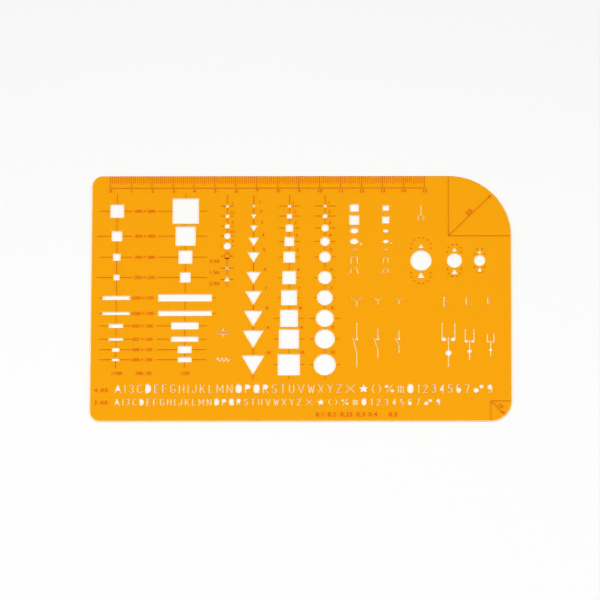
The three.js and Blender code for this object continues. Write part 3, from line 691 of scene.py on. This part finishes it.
@dataclass
class StencilSheet:
    """The clear sheet, with a fine bevel at every rim and a wider one along its border."""

    edges: SheetEdges
    thickness: float = 1.2
    rim_bevel: float = 0.07
    border_bevel: float = 0.32
    ruler_bevel: float = 0.03
    ruler_facing: Point = (0.6, 0.98)
    foot_bevel: float = 0.04
    sharp_angle: float = math.radians(30)
    # Cut-outs wider than this get their walls in the paler, painted-light colour
    wide_cut: float = 1.3

    def _place(self, loop: Sequence[Point]) -> Face:
        """Return the material place of a rim: the border or a wide cut-out, both with painted light, or a
        narrow one.
        """
        cut = Face.WALL if self.edges.width(loop) > self.wide_cut else Face.RIM
        return Face.BORDER if loop is self.edges.border else cut

    def _bevels(self, loop: Sequence[Point]) -> list[float]:
        """Give the width of the upper bevel at each corner of a rim.

        Args:
            loop: The corners of the rim.

        Returns:
            The widths. The ruler edge keeps a sharp bevel, so that its strokes reach the paper.
        """
        if loop is not self.edges.border:
            return [self.rim_bevel] * len(loop)
        corners = np.array(loop)
        chord = np.roll(corners, -1, axis=0) - np.roll(corners, 1, axis=0)
        facing = -chord[:, 0] / np.linalg.norm(chord, axis=1)
        return np.interp(facing, self.ruler_facing, (self.border_bevel, self.ruler_bevel)).tolist()

    def _levels(self, loop: Sequence[Point]) -> list[list[Vector]]:
        """Give the rings of corners up one rim, from the underside to the upper face.

        Args:
            loop: The corners of the rim.

        Returns:
            Four rings of corners, in metres.
        """
        bevels = self._bevels(loop)
        foot = [self.foot_bevel] * len(loop)
        levels = [
            (inset(loop, foot), [0.0] * len(loop)),
            (loop, foot),
            (loop, [self.thickness - bevel for bevel in bevels]),
            (inset(loop, bevels), [self.thickness] * len(loop)),
        ]
        return [
            [Vector((x, y, z)) * MM for (x, y), z in zip(ring, heights)] for ring, heights in levels
        ]

    def build(self, finishes: Sequence[bpy.types.Material]) -> bpy.types.Object:
        """Build the sheet.

        Args:
            finishes: The materials of the clear faces, the narrow rims, and the painted-light border and
                wide walls.

        Returns:
            The piece, which stands for the sheet's solid.
        """
        mesh = bmesh.new()
        ends: tuple[list[bmesh.types.BMEdge], ...] = ([], [])
        for loop in self.edges.loops:
            place = self._place(loop)
            rings = [[mesh.verts.new(corner) for corner in ring] for ring in self._levels(loop)]
            for lower, upper in zip(rings, rings[1:]):
                for index in range(len(loop)):
                    after = (index + 1) % len(loop)
                    wall = mesh.faces.new((lower[index], lower[after], upper[after], upper[index]))
                    wall.material_index = place.value
            for ring, edges in zip((rings[0], rings[-1]), ends):
                edges.extend(mesh.edges.get((ring[index - 1], ring[index])) for index in range(len(ring)))
        for edges, way in zip(ends, (-1.0, 1.0)):
            filled = bmesh.ops.triangle_fill(mesh, edges=edges, use_beauty=True, normal=(0, 0, way))
            for face in (item for item in filled["geom"] if isinstance(item, bmesh.types.BMFace)):
                face.material_index = Face.CLEAR.value
                if face.normal.z * way < 0:
                    face.normal_flip()
        piece = finished_piece("clear_sheet", mesh, finishes)
        piece.data.shade_smooth()
        piece.data.set_sharp_from_angle(angle=self.sharp_angle)
        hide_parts("stencil_sheet")
        return piece


@dataclass(frozen=True)
class InkFilm:
    """A film of ink that is bedded in the upper face, and the width of its lines."""

    bottom: float = 1.19
    top: float = 1.225
    line: float = 0.2

    @property
    def thickness(self) -> float:
        """Return the film's thickness."""
        return self.top - self.bottom

    @property
    def middle(self) -> float:
        """Return the height of the film's middle."""
        return (self.top + self.bottom) / 2


@dataclass(frozen=True)
class Mark:
    """A printed number: its middle, the height of its figures, its turn in degrees and its spacing."""

    text: str
    centre: Point
    height: float
    turn: float = 0.0
    spacing: float = 1.0


@dataclass
class NumberPress:
    """Prints plain numbers, in the built-in type."""

    film: InkFilm
    curve_steps: int = 4
    figure_height: float = field(init=False)

    def __post_init__(self) -> None:
        """Measure a figure of the type."""
        self.figure_height = self._box(self._set("0"))[1].y * 2

    def _set(self, text: str, spacing: float = 1.0) -> bpy.types.Mesh:
        """Set a text in type, one unit high and thick, with its middle at the origin.

        Args:
            text: The text.
            spacing: How far apart its figures stand, against their usual space.

        Returns:
            Its closed mesh.
        """
        curve = bpy.data.curves.new("number", "FONT")
        curve.body = text
        curve.extrude = 0.5
        curve.space_character = spacing
        curve.resolution_u = self.curve_steps
        mesh = final_mesh(placed("number", curve))
        bpy.data.curves.remove(curve)
        low, high = self._box(mesh)
        mesh.transform(Matrix.Translation(-(low + high) / 2))
        return mesh

    @staticmethod
    def _box(mesh: bpy.types.Mesh) -> tuple[Vector, Vector]:
        """Return the lowest and the highest corner of a mesh."""
        corners = np.array([vertex.co for vertex in mesh.vertices])
        return Vector(corners.min(axis=0)), Vector(corners.max(axis=0))

    def add(self, target: bmesh.types.BMesh, mark: Mark) -> None:
        """Print a number.

        Args:
            target: The mesh that it goes into.
            mark: The number.
        """
        mesh = self._set(mark.text, mark.spacing)
        scale = mark.height / self.figure_height
        place = Matrix.Translation(Vector((*mark.centre, self.film.middle)) * MM)
        size = Matrix.Diagonal((scale * MM, scale * MM, self.film.thickness * MM, 1))
        mesh.transform(place @ Matrix.Rotation(math.radians(mark.turn), 4, "Z") @ size)
        target.from_mesh(mesh)
        bpy.data.meshes.remove(mesh)


class NodeShape:
    """A Geometry Nodes tree with named inputs, used as a tool that gives plain meshes."""

    SOCKETS = {
        int: "NodeSocketInt", float: "NodeSocketFloat", Vector: "NodeSocketVector",
        bpy.types.Material: "NodeSocketMaterial",
    }

    def __init__(self, name: str, **inputs: type) -> None:
        """Start a tree.

        Args:
            name: The tree's name.
            **inputs: The kinds of its inputs.
        """
        self.tree = bpy.data.node_groups.new(name, "GeometryNodeTree")
        self.tree.is_modifier = True
        self.tree.interface.new_socket("Geometry", in_out="OUTPUT", socket_type="NodeSocketGeometry")
        self.identifiers = {}
        for label, kind in (inputs | {"Material": bpy.types.Material}).items():
            socket = self.tree.interface.new_socket(label, in_out="INPUT", socket_type=self.SOCKETS[kind])
            self.identifiers[label] = socket.identifier
        self.sketch = NodeSketch(self.tree)
        self.source = self.sketch.add("NodeGroupInput").outputs

    def size(self, x: object, y: object, z: object) -> Socket:
        """Return a vector made of three numbers or sockets."""
        return self.sketch.add("ShaderNodeCombineXYZ", {0: x, 1: y, 2: z}).outputs[0]

    def close(self, instances: Socket) -> None:
        """Realize the instances, give them the ink and end the tree.

        Args:
            instances: The instances.
        """
        real = self.sketch.add("GeometryNodeRealizeInstances", {"Geometry": instances}).outputs[0]
        ink = {"Geometry": real, "Material": self.source["Material"]}
        inked = self.sketch.add("GeometryNodeSetMaterial", ink).outputs[0]
        self.sketch.add("NodeGroupOutput", {"Geometry": inked})

    def add(self, target: bmesh.types.BMesh, values: Mapping[str, object]) -> None:
        """Add the tree's shape to a mesh.

        Args:
            target: The mesh that it goes into.
            values: The values of its inputs.
        """
        holder = placed("shape", bpy.data.meshes.new("shape"))
        modifier = holder.modifiers.new("shape", "NODES")
        modifier.node_group = self.tree
        for label, value in values.items():
            modifier[self.identifiers[label]] = value
        mesh = final_mesh(holder)
        target.from_mesh(mesh)
        bpy.data.meshes.remove(mesh)


def stroke_row_shape() -> NodeShape:
    """Make the tree for a row of upright strokes that hang from one level.

    Returns:
        The tree. It leaves out a stroke wherever its number plus Shift divides by Every.
    """
    shape = NodeShape(
        "stroke_row", Count=int, Pitch=float, Start=Vector, Length=float, Width=float, Thickness=float,
        Every=int, Shift=int,
    )
    sketch, source = shape.sketch, shape.source
    step = shape.size(source["Pitch"], 0.0, 0.0)
    row = {"Count": source["Count"], "Start Location": source["Start"], "Offset": step}
    places = sketch.add("GeometryNodeMeshLine", row, mode="OFFSET").outputs[0]
    number = sketch.math("ADD", sketch.add("GeometryNodeInputIndex").outputs[0], source["Shift"])
    kept = sketch.math("GREATER_THAN", sketch.math("MODULO", number, source["Every"]), 0.5)
    size = shape.size(source["Width"], source["Length"], source["Thickness"])
    stroke = sketch.add("GeometryNodeMeshCube", {"Size": size}).outputs[0]
    drop = shape.size(0.0, sketch.math("MULTIPLY", source["Length"], -0.5), 0.0)
    hung = sketch.add("GeometryNodeTransform", {"Geometry": stroke, "Translation": drop}).outputs[0]
    strokes = {"Points": places, "Selection": kept, "Instance": hung}
    shape.close(sketch.add("GeometryNodeInstanceOnPoints", strokes).outputs[0])
    return shape


def dashed_arc_shape() -> NodeShape:
    """Make the tree for a dashed arc.

    Returns:
        The tree.
    """
    shape = NodeShape(
        "dashed_arc", Centre=Vector, Radius=float, Start=float, Sweep=float, Dashes=int, Length=float,
        Width=float, Thickness=float,
    )
    sketch, source = shape.sketch, shape.source
    arc = {
        "Resolution": ARC_STEPS, "Radius": source["Radius"],
        "Start Angle": source["Start"], "Sweep Angle": source["Sweep"],
    }
    path = sketch.add("GeometryNodeCurveArc", arc, mode="RADIUS").outputs[0]
    dotted = {"Curve": path, "Count": source["Dashes"]}
    places = sketch.add("GeometryNodeCurveToPoints", dotted, mode="COUNT").outputs
    size = shape.size(source["Length"], source["Width"], source["Thickness"])
    dash = sketch.add("GeometryNodeMeshCube", {"Size": size}).outputs[0]
    tangent = {"Vector": places["Tangent"]}
    turned = sketch.add("FunctionNodeAlignRotationToVector", tangent, axis="X").outputs[0]
    row = {"Points": places[0], "Instance": dash, "Rotation": turned}
    dashes = sketch.add("GeometryNodeInstanceOnPoints", row).outputs[0]
    moved = {"Geometry": dashes, "Translation": source["Centre"]}
    shape.close(sketch.add("GeometryNodeTransform", moved).outputs[0])
    return shape


@dataclass
class PrintShop:
    """What every printed piece shares: the sheet's edges, the film, the press and the inks."""

    edges: SheetEdges
    line_ink: bpy.types.Material
    number_ink: bpy.types.Material
    film: InkFilm = field(default_factory=InkFilm)
    rim_clearance: float = 0.25
    strokes: NodeShape = field(default_factory=stroke_row_shape)
    arcs: NodeShape = field(default_factory=dashed_arc_shape)
    press: NumberPress = field(init=False)

    def __post_init__(self) -> None:
        """Set up the press."""
        self.press = NumberPress(self.film)

    def line(self, target: bmesh.types.BMesh, start: Point, end: Point, weight: float = 1.0) -> None:
        """Print a straight line, broken at the cut-outs, with its width against the usual line."""
        for first, last in self.edges.runs(start, end, self.rim_clearance):
            self._strip(target, Vector(first), Vector(last), self.film.line * weight)

    def _strip(self, target: bmesh.types.BMesh, first: Vector, last: Vector, width: float) -> None:
        """Add one closed strip of ink.

        Args:
            target: The mesh that it goes into.
            first: Where the strip starts.
            last: Where it ends.
            width: Its width.
        """
        along = (last - first).normalized()
        aside = Vector((-along.y, along.x)) * width / 2
        corners = (first - aside, last - aside, last + aside, first + aside)
        rings = [
            [target.verts.new(Vector((*corner, height)) * MM) for corner in corners]
            for height in (self.film.bottom, self.film.top)
        ]
        target.faces.new(rings[0][::-1])
        target.faces.new(rings[1])
        for index in range(4):
            after = (index + 1) % 4
            target.faces.new((rings[0][index], rings[0][after], rings[1][after], rings[1][index]))

    def finish(self, name: str, mesh: bmesh.types.BMesh, ink: bpy.types.Material) -> None:
        """Weld a printed mesh and make it a piece.

        Args:
            name: The piece's name.
            mesh: Its mesh.
            ink: Its ink.
        """
        bmesh.ops.remove_doubles(mesh, verts=mesh.verts, dist=WELD)
        # Realized instances come with an empty first material place
        for face in mesh.faces:
            face.material_index = 0
        finished_piece(name, mesh, (ink,))


@dataclass
class RulerMarks:
    """Millimetre strokes and numbers of the ruler. Its centimetre strokes and base line are solids."""

    shop: PrintShop
    zero: float = -91.4
    edge: float = 60.97
    centimetres: int = 15
    per_centimetre: int = 10
    millimetre_length: float = 3.6
    half_centimetre_length: float = 4.2
    stroke_width: float = 0.17
    number_level: float = 53.6
    number_shift: float = 0.3
    number_height: float = 1.7

    def build(self) -> None:
        """Print the strokes and the numbers."""
        film = self.shop.film
        strokes = bmesh.new()
        whole, half = self.per_centimetre, self.per_centimetre // 2
        # The first row leaves out every half centimetre, and the second one leaves out nothing
        rows = (
            (self.centimetres * whole, 1, 0, self.millimetre_length, half, 0),
            (self.centimetres, whole, half, self.half_centimetre_length, 2 * self.centimetres, 1),
        )
        for count, pitch, start, length, every, shift in rows:
            self.shop.strokes.add(strokes, {
                "Count": count,
                "Pitch": pitch * MM,
                "Start": ((self.zero + start) * MM, self.edge * MM, film.middle * MM),
                "Length": length * MM,
                "Width": self.stroke_width * MM,
                "Thickness": film.thickness * MM,
                "Every": every,
                "Shift": shift,
                "Material": self.shop.number_ink,
            })
        self.shop.finish("ruler_millimetre_strokes", strokes, self.shop.number_ink)
        numbers = bmesh.new()
        for centimetre in range(self.centimetres + 1):
            place = (self.zero + whole * centimetre + self.number_shift, self.number_level)
            self.shop.press.add(numbers, Mark(str(centimetre), place, self.number_height))
        self.shop.finish("ruler_numbers", numbers, self.shop.number_ink)


@dataclass
class LightGuides:
    """Centre lines, row lines and sizes of the ceiling lights in the two left-hand columns.

    Far rows start at the second left end, and lights that aren't square have their number at the second
    middle.
    """

    shop: PrintShop
    columns: Point = (-87.9, -55.2)
    column_ends: Point = (52.2, -34.7)
    rows: tuple[tuple[float, int, int], ...] = (
        (43.5, 600, 600), (31.0, 450, 450), (20.5, 300, 300), (10.4, 225, 225), (0.2, 1250, 150),
        (-7.5, 1250, 100), (-13.7, 625, 150), (-20.3, 625, 100), (-25.5, 300, 150), (-30.5, 300, 100),
    )
    left_ends: Point = (-95.9, -97.4)
    far_rows: tuple[int, ...] = (1, 3)
    inner_ends: Point = (-80.6, -68.3)
    right_end: float = -44.8
    long_right_end: float = -40.3
    long_light: int = 1000
    number_middles: Point = (-74.5, -75.3)
    number_height: float = 1.5
    number_spacing: float = 1.08
    scales: tuple[tuple[str, float], ...] = (("1/100", -87.3), ("100 : 50", -74.5), ("1/50", -54.7))
    scale_level: float = -37.2
    scale_height: float = 1.6

    def build(self) -> None:
        """Print the guides and their numbers."""
        guides, numbers = bmesh.new(), bmesh.new()
        for column in self.columns:
            self.shop.line(guides, (column, self.column_ends[0]), (column, self.column_ends[1]))
        for index, (level, length, width) in enumerate(self.rows):
            left = self.left_ends[index in self.far_rows]
            right = self.long_right_end if length > self.long_light else self.right_end
            self.shop.line(guides, (left, level), (self.inner_ends[0], level))
            self.shop.line(guides, (self.inner_ends[1], level), (right, level))
            place = (self.number_middles[length != width], level)
            mark = Mark(f"{length} \u00d7 {width}", place, self.number_height, spacing=self.number_spacing)
            self.shop.press.add(numbers, mark)
        for scale, column in self.scales:
            self.shop.press.add(numbers, Mark(scale, (column, self.scale_level), self.scale_height))
        self.shop.finish("light_guides", guides, self.shop.line_ink)
        self.shop.finish("light_numbers", numbers, self.shop.number_ink)


@dataclass
class LampGuides:
    """Centre line, side dashes and sizes of the small lamp signs."""

    shop: PrintShop
    column: float = -35.3
    column_ends: Point = (51.6, 5.6)
    levels: tuple[float, ...] = (46.0, 41.0, 36.0, 31.0, 26.0, 21.0, 15.0, 9.3)
    sizes: tuple[float, ...] = (1.0, 1.5, 2.0, 2.5, 3.0)
    ring_diameter: float = 3.0
    ring_level: float = 21.0
    cut_sign_widths: Point = (1.5, 2.0)
    dash_reach: float = 2.95
    dash_weight: float = 1.3
    number_shift: Point = (2.5, 1.0)
    number_height: float = 1.2
    labels: tuple[tuple[str, float], ...] = (("3.00", 18.5), ("1.50", 12.9), ("2.00", 7.3))
    label_middle: float = -41.3
    label_height: float = 1.6
    label_spacing: float = 1.2

    def build(self) -> None:
        """Print the guides and their numbers."""
        guides, numbers = bmesh.new(), bmesh.new()
        ring = self.ring_diameter / 2
        self.shop.line(guides, (self.column, self.column_ends[0]), (self.column, self.ring_level + ring))
        self.shop.line(guides, (self.column, self.ring_level - ring), (self.column, self.column_ends[1]))
        for level, width in zip(self.levels, (*self.sizes, self.ring_diameter, *self.cut_sign_widths)):
            for hand in (-1, 1):
                tip = (self.column + hand * width / 2, level)
                self.shop.line(guides, tip, (self.column + hand * self.dash_reach, level), self.dash_weight)
        for level, size in zip(self.levels, self.sizes):
            place = (self.column + self.number_shift[0], level + size / 2 + self.number_shift[1])
            self.shop.press.add(numbers, Mark(f"{size:g}", place, self.number_height))
        for text, level in self.labels:
            mark = Mark(text, (self.label_middle, level), self.label_height, spacing=self.label_spacing)
            self.shop.press.add(numbers, mark)
        self.shop.finish("lamp_guides", guides, self.shop.line_ink)
        self.shop.finish("lamp_numbers", numbers, self.shop.number_ink)


class Outline(Enum):
    """Kinds of plain shapes, one for each column."""

    TRIANGLE = "triangle"
    SQUARE = "square"
    CIRCLE = "circle"


@dataclass
class ShapeGuides:
    """Centre lines, side dashes and size numbers of one column of plain shapes.

    The dashes start at a share of the half cut-out, and from the size far_dashes on they have the second
    reach. The number of a circle stands aside by a first part and a share of its size.
    """

    shop: PrintShop
    kind: Outline
    column: float
    number_shift: Point
    levels: tuple[float, ...] = (46.0, 41.0, 35.0, 28.25, 20.5, 10.25, 0.25, -10.0, -20.25, -33.0)
    column_ends: Point = (51.5, -40.1)
    allowance: float = 0.5
    dash_start: float = 0.98
    dash_reach: Point = (5.05, 7.2)
    far_dashes: int = 8
    number_height: float = 1.5
    circle_aside: Point = (1.6, 0.24)
    weight: float = 1.0

    def _half_hole(self, size: int) -> Point:
        """Return half the width and half the height of the cut-out for a size."""
        slope, rise = (math.sqrt(3), math.sqrt(3) / 2) if self.kind is Outline.TRIANGLE else (1.0, 1.0)
        return (size + slope * self.allowance) / 2, (size + slope * self.allowance) / 2 * rise

    def _number_place(self, size: int, level: float) -> Point:
        """Give the middle of a size number, at the upper right of its cut-out.

        Args:
            size: The size.
            level: The level of its row.

        Returns:
            The place.
        """
        aside, above = self._half_hole(size)
        if self.kind is Outline.CIRCLE:
            aside = self.circle_aside[0] + self.circle_aside[1] * size
        return self.column + aside + self.number_shift[0], level + above + self.number_shift[1]

    def build(self) -> None:
        """Print the guides and their numbers."""
        guides, numbers = bmesh.new(), bmesh.new()
        ends = [(self.column, level) for level in self.column_ends]
        self.shop.line(guides, *ends, self.weight)
        for size, level in enumerate(self.levels, start=1):
            place = self._number_place(size, level)
            self.shop.press.add(numbers, Mark(str(size), place, self.number_height))
            if self.kind is Outline.TRIANGLE:
                continue
            reach = self.dash_reach[size >= self.far_dashes]
            for hand in (-1, 1):
                tip = (self.column + hand * self._half_hole(size)[0] * self.dash_start, level)
                self.shop.line(guides, tip, (self.column + hand * reach, level))
        self.shop.finish(f"{self.kind.value}_guides", guides, self.shop.line_ink)
        self.shop.finish(f"{self.kind.value}_numbers", numbers, self.shop.number_ink)


@dataclass
class TransformerArcs:
    """Dashed arcs above and below the transformer signs, where the circle is drawn again."""

    shop: PrintShop
    columns: tuple[float, ...] = (57.0, 72.9, 84.9)
    level: float = 18.7
    diameters: tuple[float, ...] = (9.5, 6.6, 4.8)
    shifts: tuple[float, ...] = (6.7, 4.75, 3.7)
    dash: float = 0.65
    width: float = 0.42
    pitch: float = 2.0
    start: float = math.radians(-8)

    def build(self) -> None:
        """Print the arcs."""
        film = self.shop.film
        arcs = bmesh.new()
        sweep = math.pi - 2 * self.start
        for column, diameter, shift in zip(self.columns, self.diameters, self.shifts):
            for way in (1, -1):
                self.shop.arcs.add(arcs, {
                    "Centre": (column * MM, (self.level + way * shift) * MM, film.middle * MM),
                    "Radius": diameter / 2 * MM,
                    "Start": self.start if way > 0 else self.start + math.pi,
                    "Sweep": sweep,
                    "Dashes": round(sweep * diameter / 2 / self.pitch),
                    "Length": self.dash * MM,
                    "Width": self.width * MM,
                    "Thickness": film.thickness * MM,
                    "Material": self.shop.line_ink,
                })
        self.shop.finish("transformer_arcs", arcs, self.shop.line_ink)


@dataclass
class EdgeNumbers:
    """Plain numbers beside the corner gauges and the letter rows, and a row of pencil widths."""

    shop: PrintShop
    marks: tuple[Mark, ...] = (
        Mark("30", (79.8, 42.9), 2.1, turn=45.0, spacing=1.25),
        Mark("10", (94.7, -53.4), 1.7, turn=-45.0, spacing=1.25),
        Mark("4.00", (-94.7, -45.6), 1.9, spacing=1.4),
        Mark("3.00", (-94.7, -51.7), 1.9, spacing=1.4),
    )
    pencils: tuple[tuple[float, float], ...] = (
        (0.1, 9.0), (0.2, 14.8), (0.25, 21.6), (0.3, 28.4), (0.4, 34.2), (0.5, 43.8),
    )
    pencil_level: float = -57.6
    pencil_height: float = 2.1
    pencil_spacing: float = 1.15

    def build(self) -> None:
        """Print the numbers."""
        numbers = bmesh.new()
        widths = [
            Mark(f"{width}", (middle, self.pencil_level), self.pencil_height, spacing=self.pencil_spacing)
            for width, middle in self.pencils
        ]
        for mark in (*self.marks, *widths):
            self.shop.press.add(numbers, mark)
        self.shop.finish("edge_numbers", numbers, self.shop.number_ink)


@dataclass(frozen=True)
class Lamp:
    """A soft square lamp, by its direction from the sheet and its share of the light on the floor."""

    name: str
    azimuth: float
    elevation: float
    share: float
    distance: float = 1.6
    size: float = 0.5

    def build(self) -> None:
        """Hang the lamp and turn it to the sheet."""
        light = bpy.data.lights.new(self.name, "AREA")
        light.shape = "SQUARE"
        light.size = self.size
        back = direction(self.azimuth, self.elevation)
        light.energy = self.share * math.pi**2 * self.distance**2 / back.z
        lamp = placed(self.name, light)
        lamp.location = back * self.distance
        lamp.rotation_euler = back.to_track_quat("Z", "Y").to_euler()
        lamp.visible_camera = False


def direction(azimuth: float, elevation: float) -> Vector:
    """Return the unit vector towards a viewer, where azimuth 0 looks along +Y."""
    turn, rise = math.radians(azimuth), math.radians(elevation)
    return Vector((math.sin(turn) * math.cos(rise), -math.cos(turn) * math.cos(rise), math.sin(rise)))


@dataclass
class Studio:
    """The floor, the lamps, the dim surroundings and the camera."""

    floor_finish: bpy.types.Material
    floor_size: float = 12.0
    floor_gap: float = 0.06
    surroundings: float = 0.12
    # Strength of the painted reflection at the horizon, which only glossy rays see
    horizon: float = 0.42
    horizon_rise: Point = (0.25, 0.8)
    lamps: tuple[Lamp, ...] = (
        Lamp("key_lamp", -12, 79, 0.352),
        Lamp("left_lamp", -75, 58, 0.331, 1.5, 0.7),
        Lamp("right_lamp", 80, 58, 0.311, 1.5, 0.7),
    )
    azimuth: float = 3.074
    elevation: float = 72.787
    roll: float = -2.992
    distance: float = 3831.2
    lens: float = 483.6
    sensor: float = 36.0
    target: tuple[float, float, float] = (-0.516, -0.938, 1.2)

    def _floor(self) -> None:
        """Lay the floor just under the sheet."""
        mesh = bmesh.new()
        half = self.floor_size / 2
        corners = ((-half, -half), (half, -half), (half, half), (-half, half))
        mesh.faces.new([mesh.verts.new((x, y, -self.floor_gap * MM)) for x, y in corners])
        data = bpy.data.meshes.new("floor")
        mesh.to_mesh(data)
        mesh.free()
        data.materials.append(self.floor_finish)
        floor = placed("floor", data)

    def _surroundings(self) -> None:
        """Make the dim, even surroundings, with a paler horizon that glossy rays alone see: a painted
        reflection that lights nothing.
        """
        world = bpy.data.worlds.new("surroundings")
        world.use_nodes = True
        sketch = NodeSketch(world.node_tree)
        sight = sketch.add("ShaderNodeTexCoord").outputs["Generated"]
        rise = sketch.add("ShaderNodeSeparateXYZ", {0: sight}).outputs["Z"]
        painted_reflection = sketch.remap(rise, self.horizon_rise, (self.horizon - self.surroundings, 0.0))
        # Painted reflection: the paler horizon shows only to glossy rays, as a sheen on shiny faces
        mirrored = sketch.add("ShaderNodeLightPath").outputs["Is Glossy Ray"]
        strength = sketch.math("ADD", self.surroundings, sketch.math("MULTIPLY", mirrored, painted_reflection))
        background = world.node_tree.nodes["Background"]
        background.inputs["Color"].default_value = (1, 1, 1, 1)
        sketch.tree.links.new(strength, background.inputs["Strength"])
        bpy.context.scene.world = world

    def _camera(self) -> None:
        """Set the camera at the photograph's angle."""
        back = direction(self.azimuth, self.elevation)
        across = Vector((0, 0, 1)).cross(back).normalized()
        upward = back.cross(across)
        turn = math.radians(self.roll)
        right = math.cos(turn) * across + math.sin(turn) * upward
        top = math.cos(turn) * upward - math.sin(turn) * across
        data = bpy.data.cameras.new("camera")
        data.sensor_width = self.sensor
        data.lens = self.lens
        camera = placed("camera", data)
        place = Vector(self.target) * MM + back * self.distance * MM
        camera.matrix_world = Matrix.Translation(place) @ Matrix((right, top, back)).transposed().to_4x4()
        bpy.context.scene.camera = camera

    def build(self) -> None:
        """Build the studio."""
        self._floor()
        self._surroundings()
        for lamp in self.lamps:
            lamp.build()
        self._camera()
        bpy.context.scene.view_settings.view_transform = "Standard"


def dress_solids(inks: Mapping[str, bpy.types.Material]) -> None:
    """Give the printed solids their inks.

    Args:
        inks: The ink of each solid, by its name.
    """
    for name, ink in inks.items():
        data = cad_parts[name].data
        data.materials.clear()
        data.materials.append(ink)
        LOG.info("%s: %s", name, ink.name)


def main() -> None:
    """Build the template and its studio."""
    logging.basicConfig(level=logging.INFO, format="%(name)s: %(message)s")
    effects = SurfaceEffects()
    Studio(PaleFloor().material(effects)).build()
    edges = SheetEdges(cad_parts["stencil_sheet"])
    StencilSheet(edges).build([SHEET_FINISHES[face].material(effects) for face in Face])
    shop = PrintShop(edges, LINE_INK.material(effects), NUMBER_INK.material(effects))
    signs = {name: ink.material(effects) for name, ink in SIGN_INKS.items()}
    dress_solids(signs | {"ruler_print": shop.line_ink})
    printing = (
        RulerMarks(shop),
        LightGuides(shop),
        LampGuides(shop),
        ShapeGuides(shop, Outline.TRIANGLE, column=-22.7, number_shift=(2.05, 1.25), weight=1.4),
        ShapeGuides(shop, Outline.SQUARE, column=-5.7, number_shift=(1.15, 0.8)),
        ShapeGuides(shop, Outline.CIRCLE, column=11.3, number_shift=(0.0, 0.95)),
        TransformerArcs(shop),
        EdgeNumbers(shop),
    )
    for printed in printing:
        printed.build()


if __name__ == "__main__":
    main()
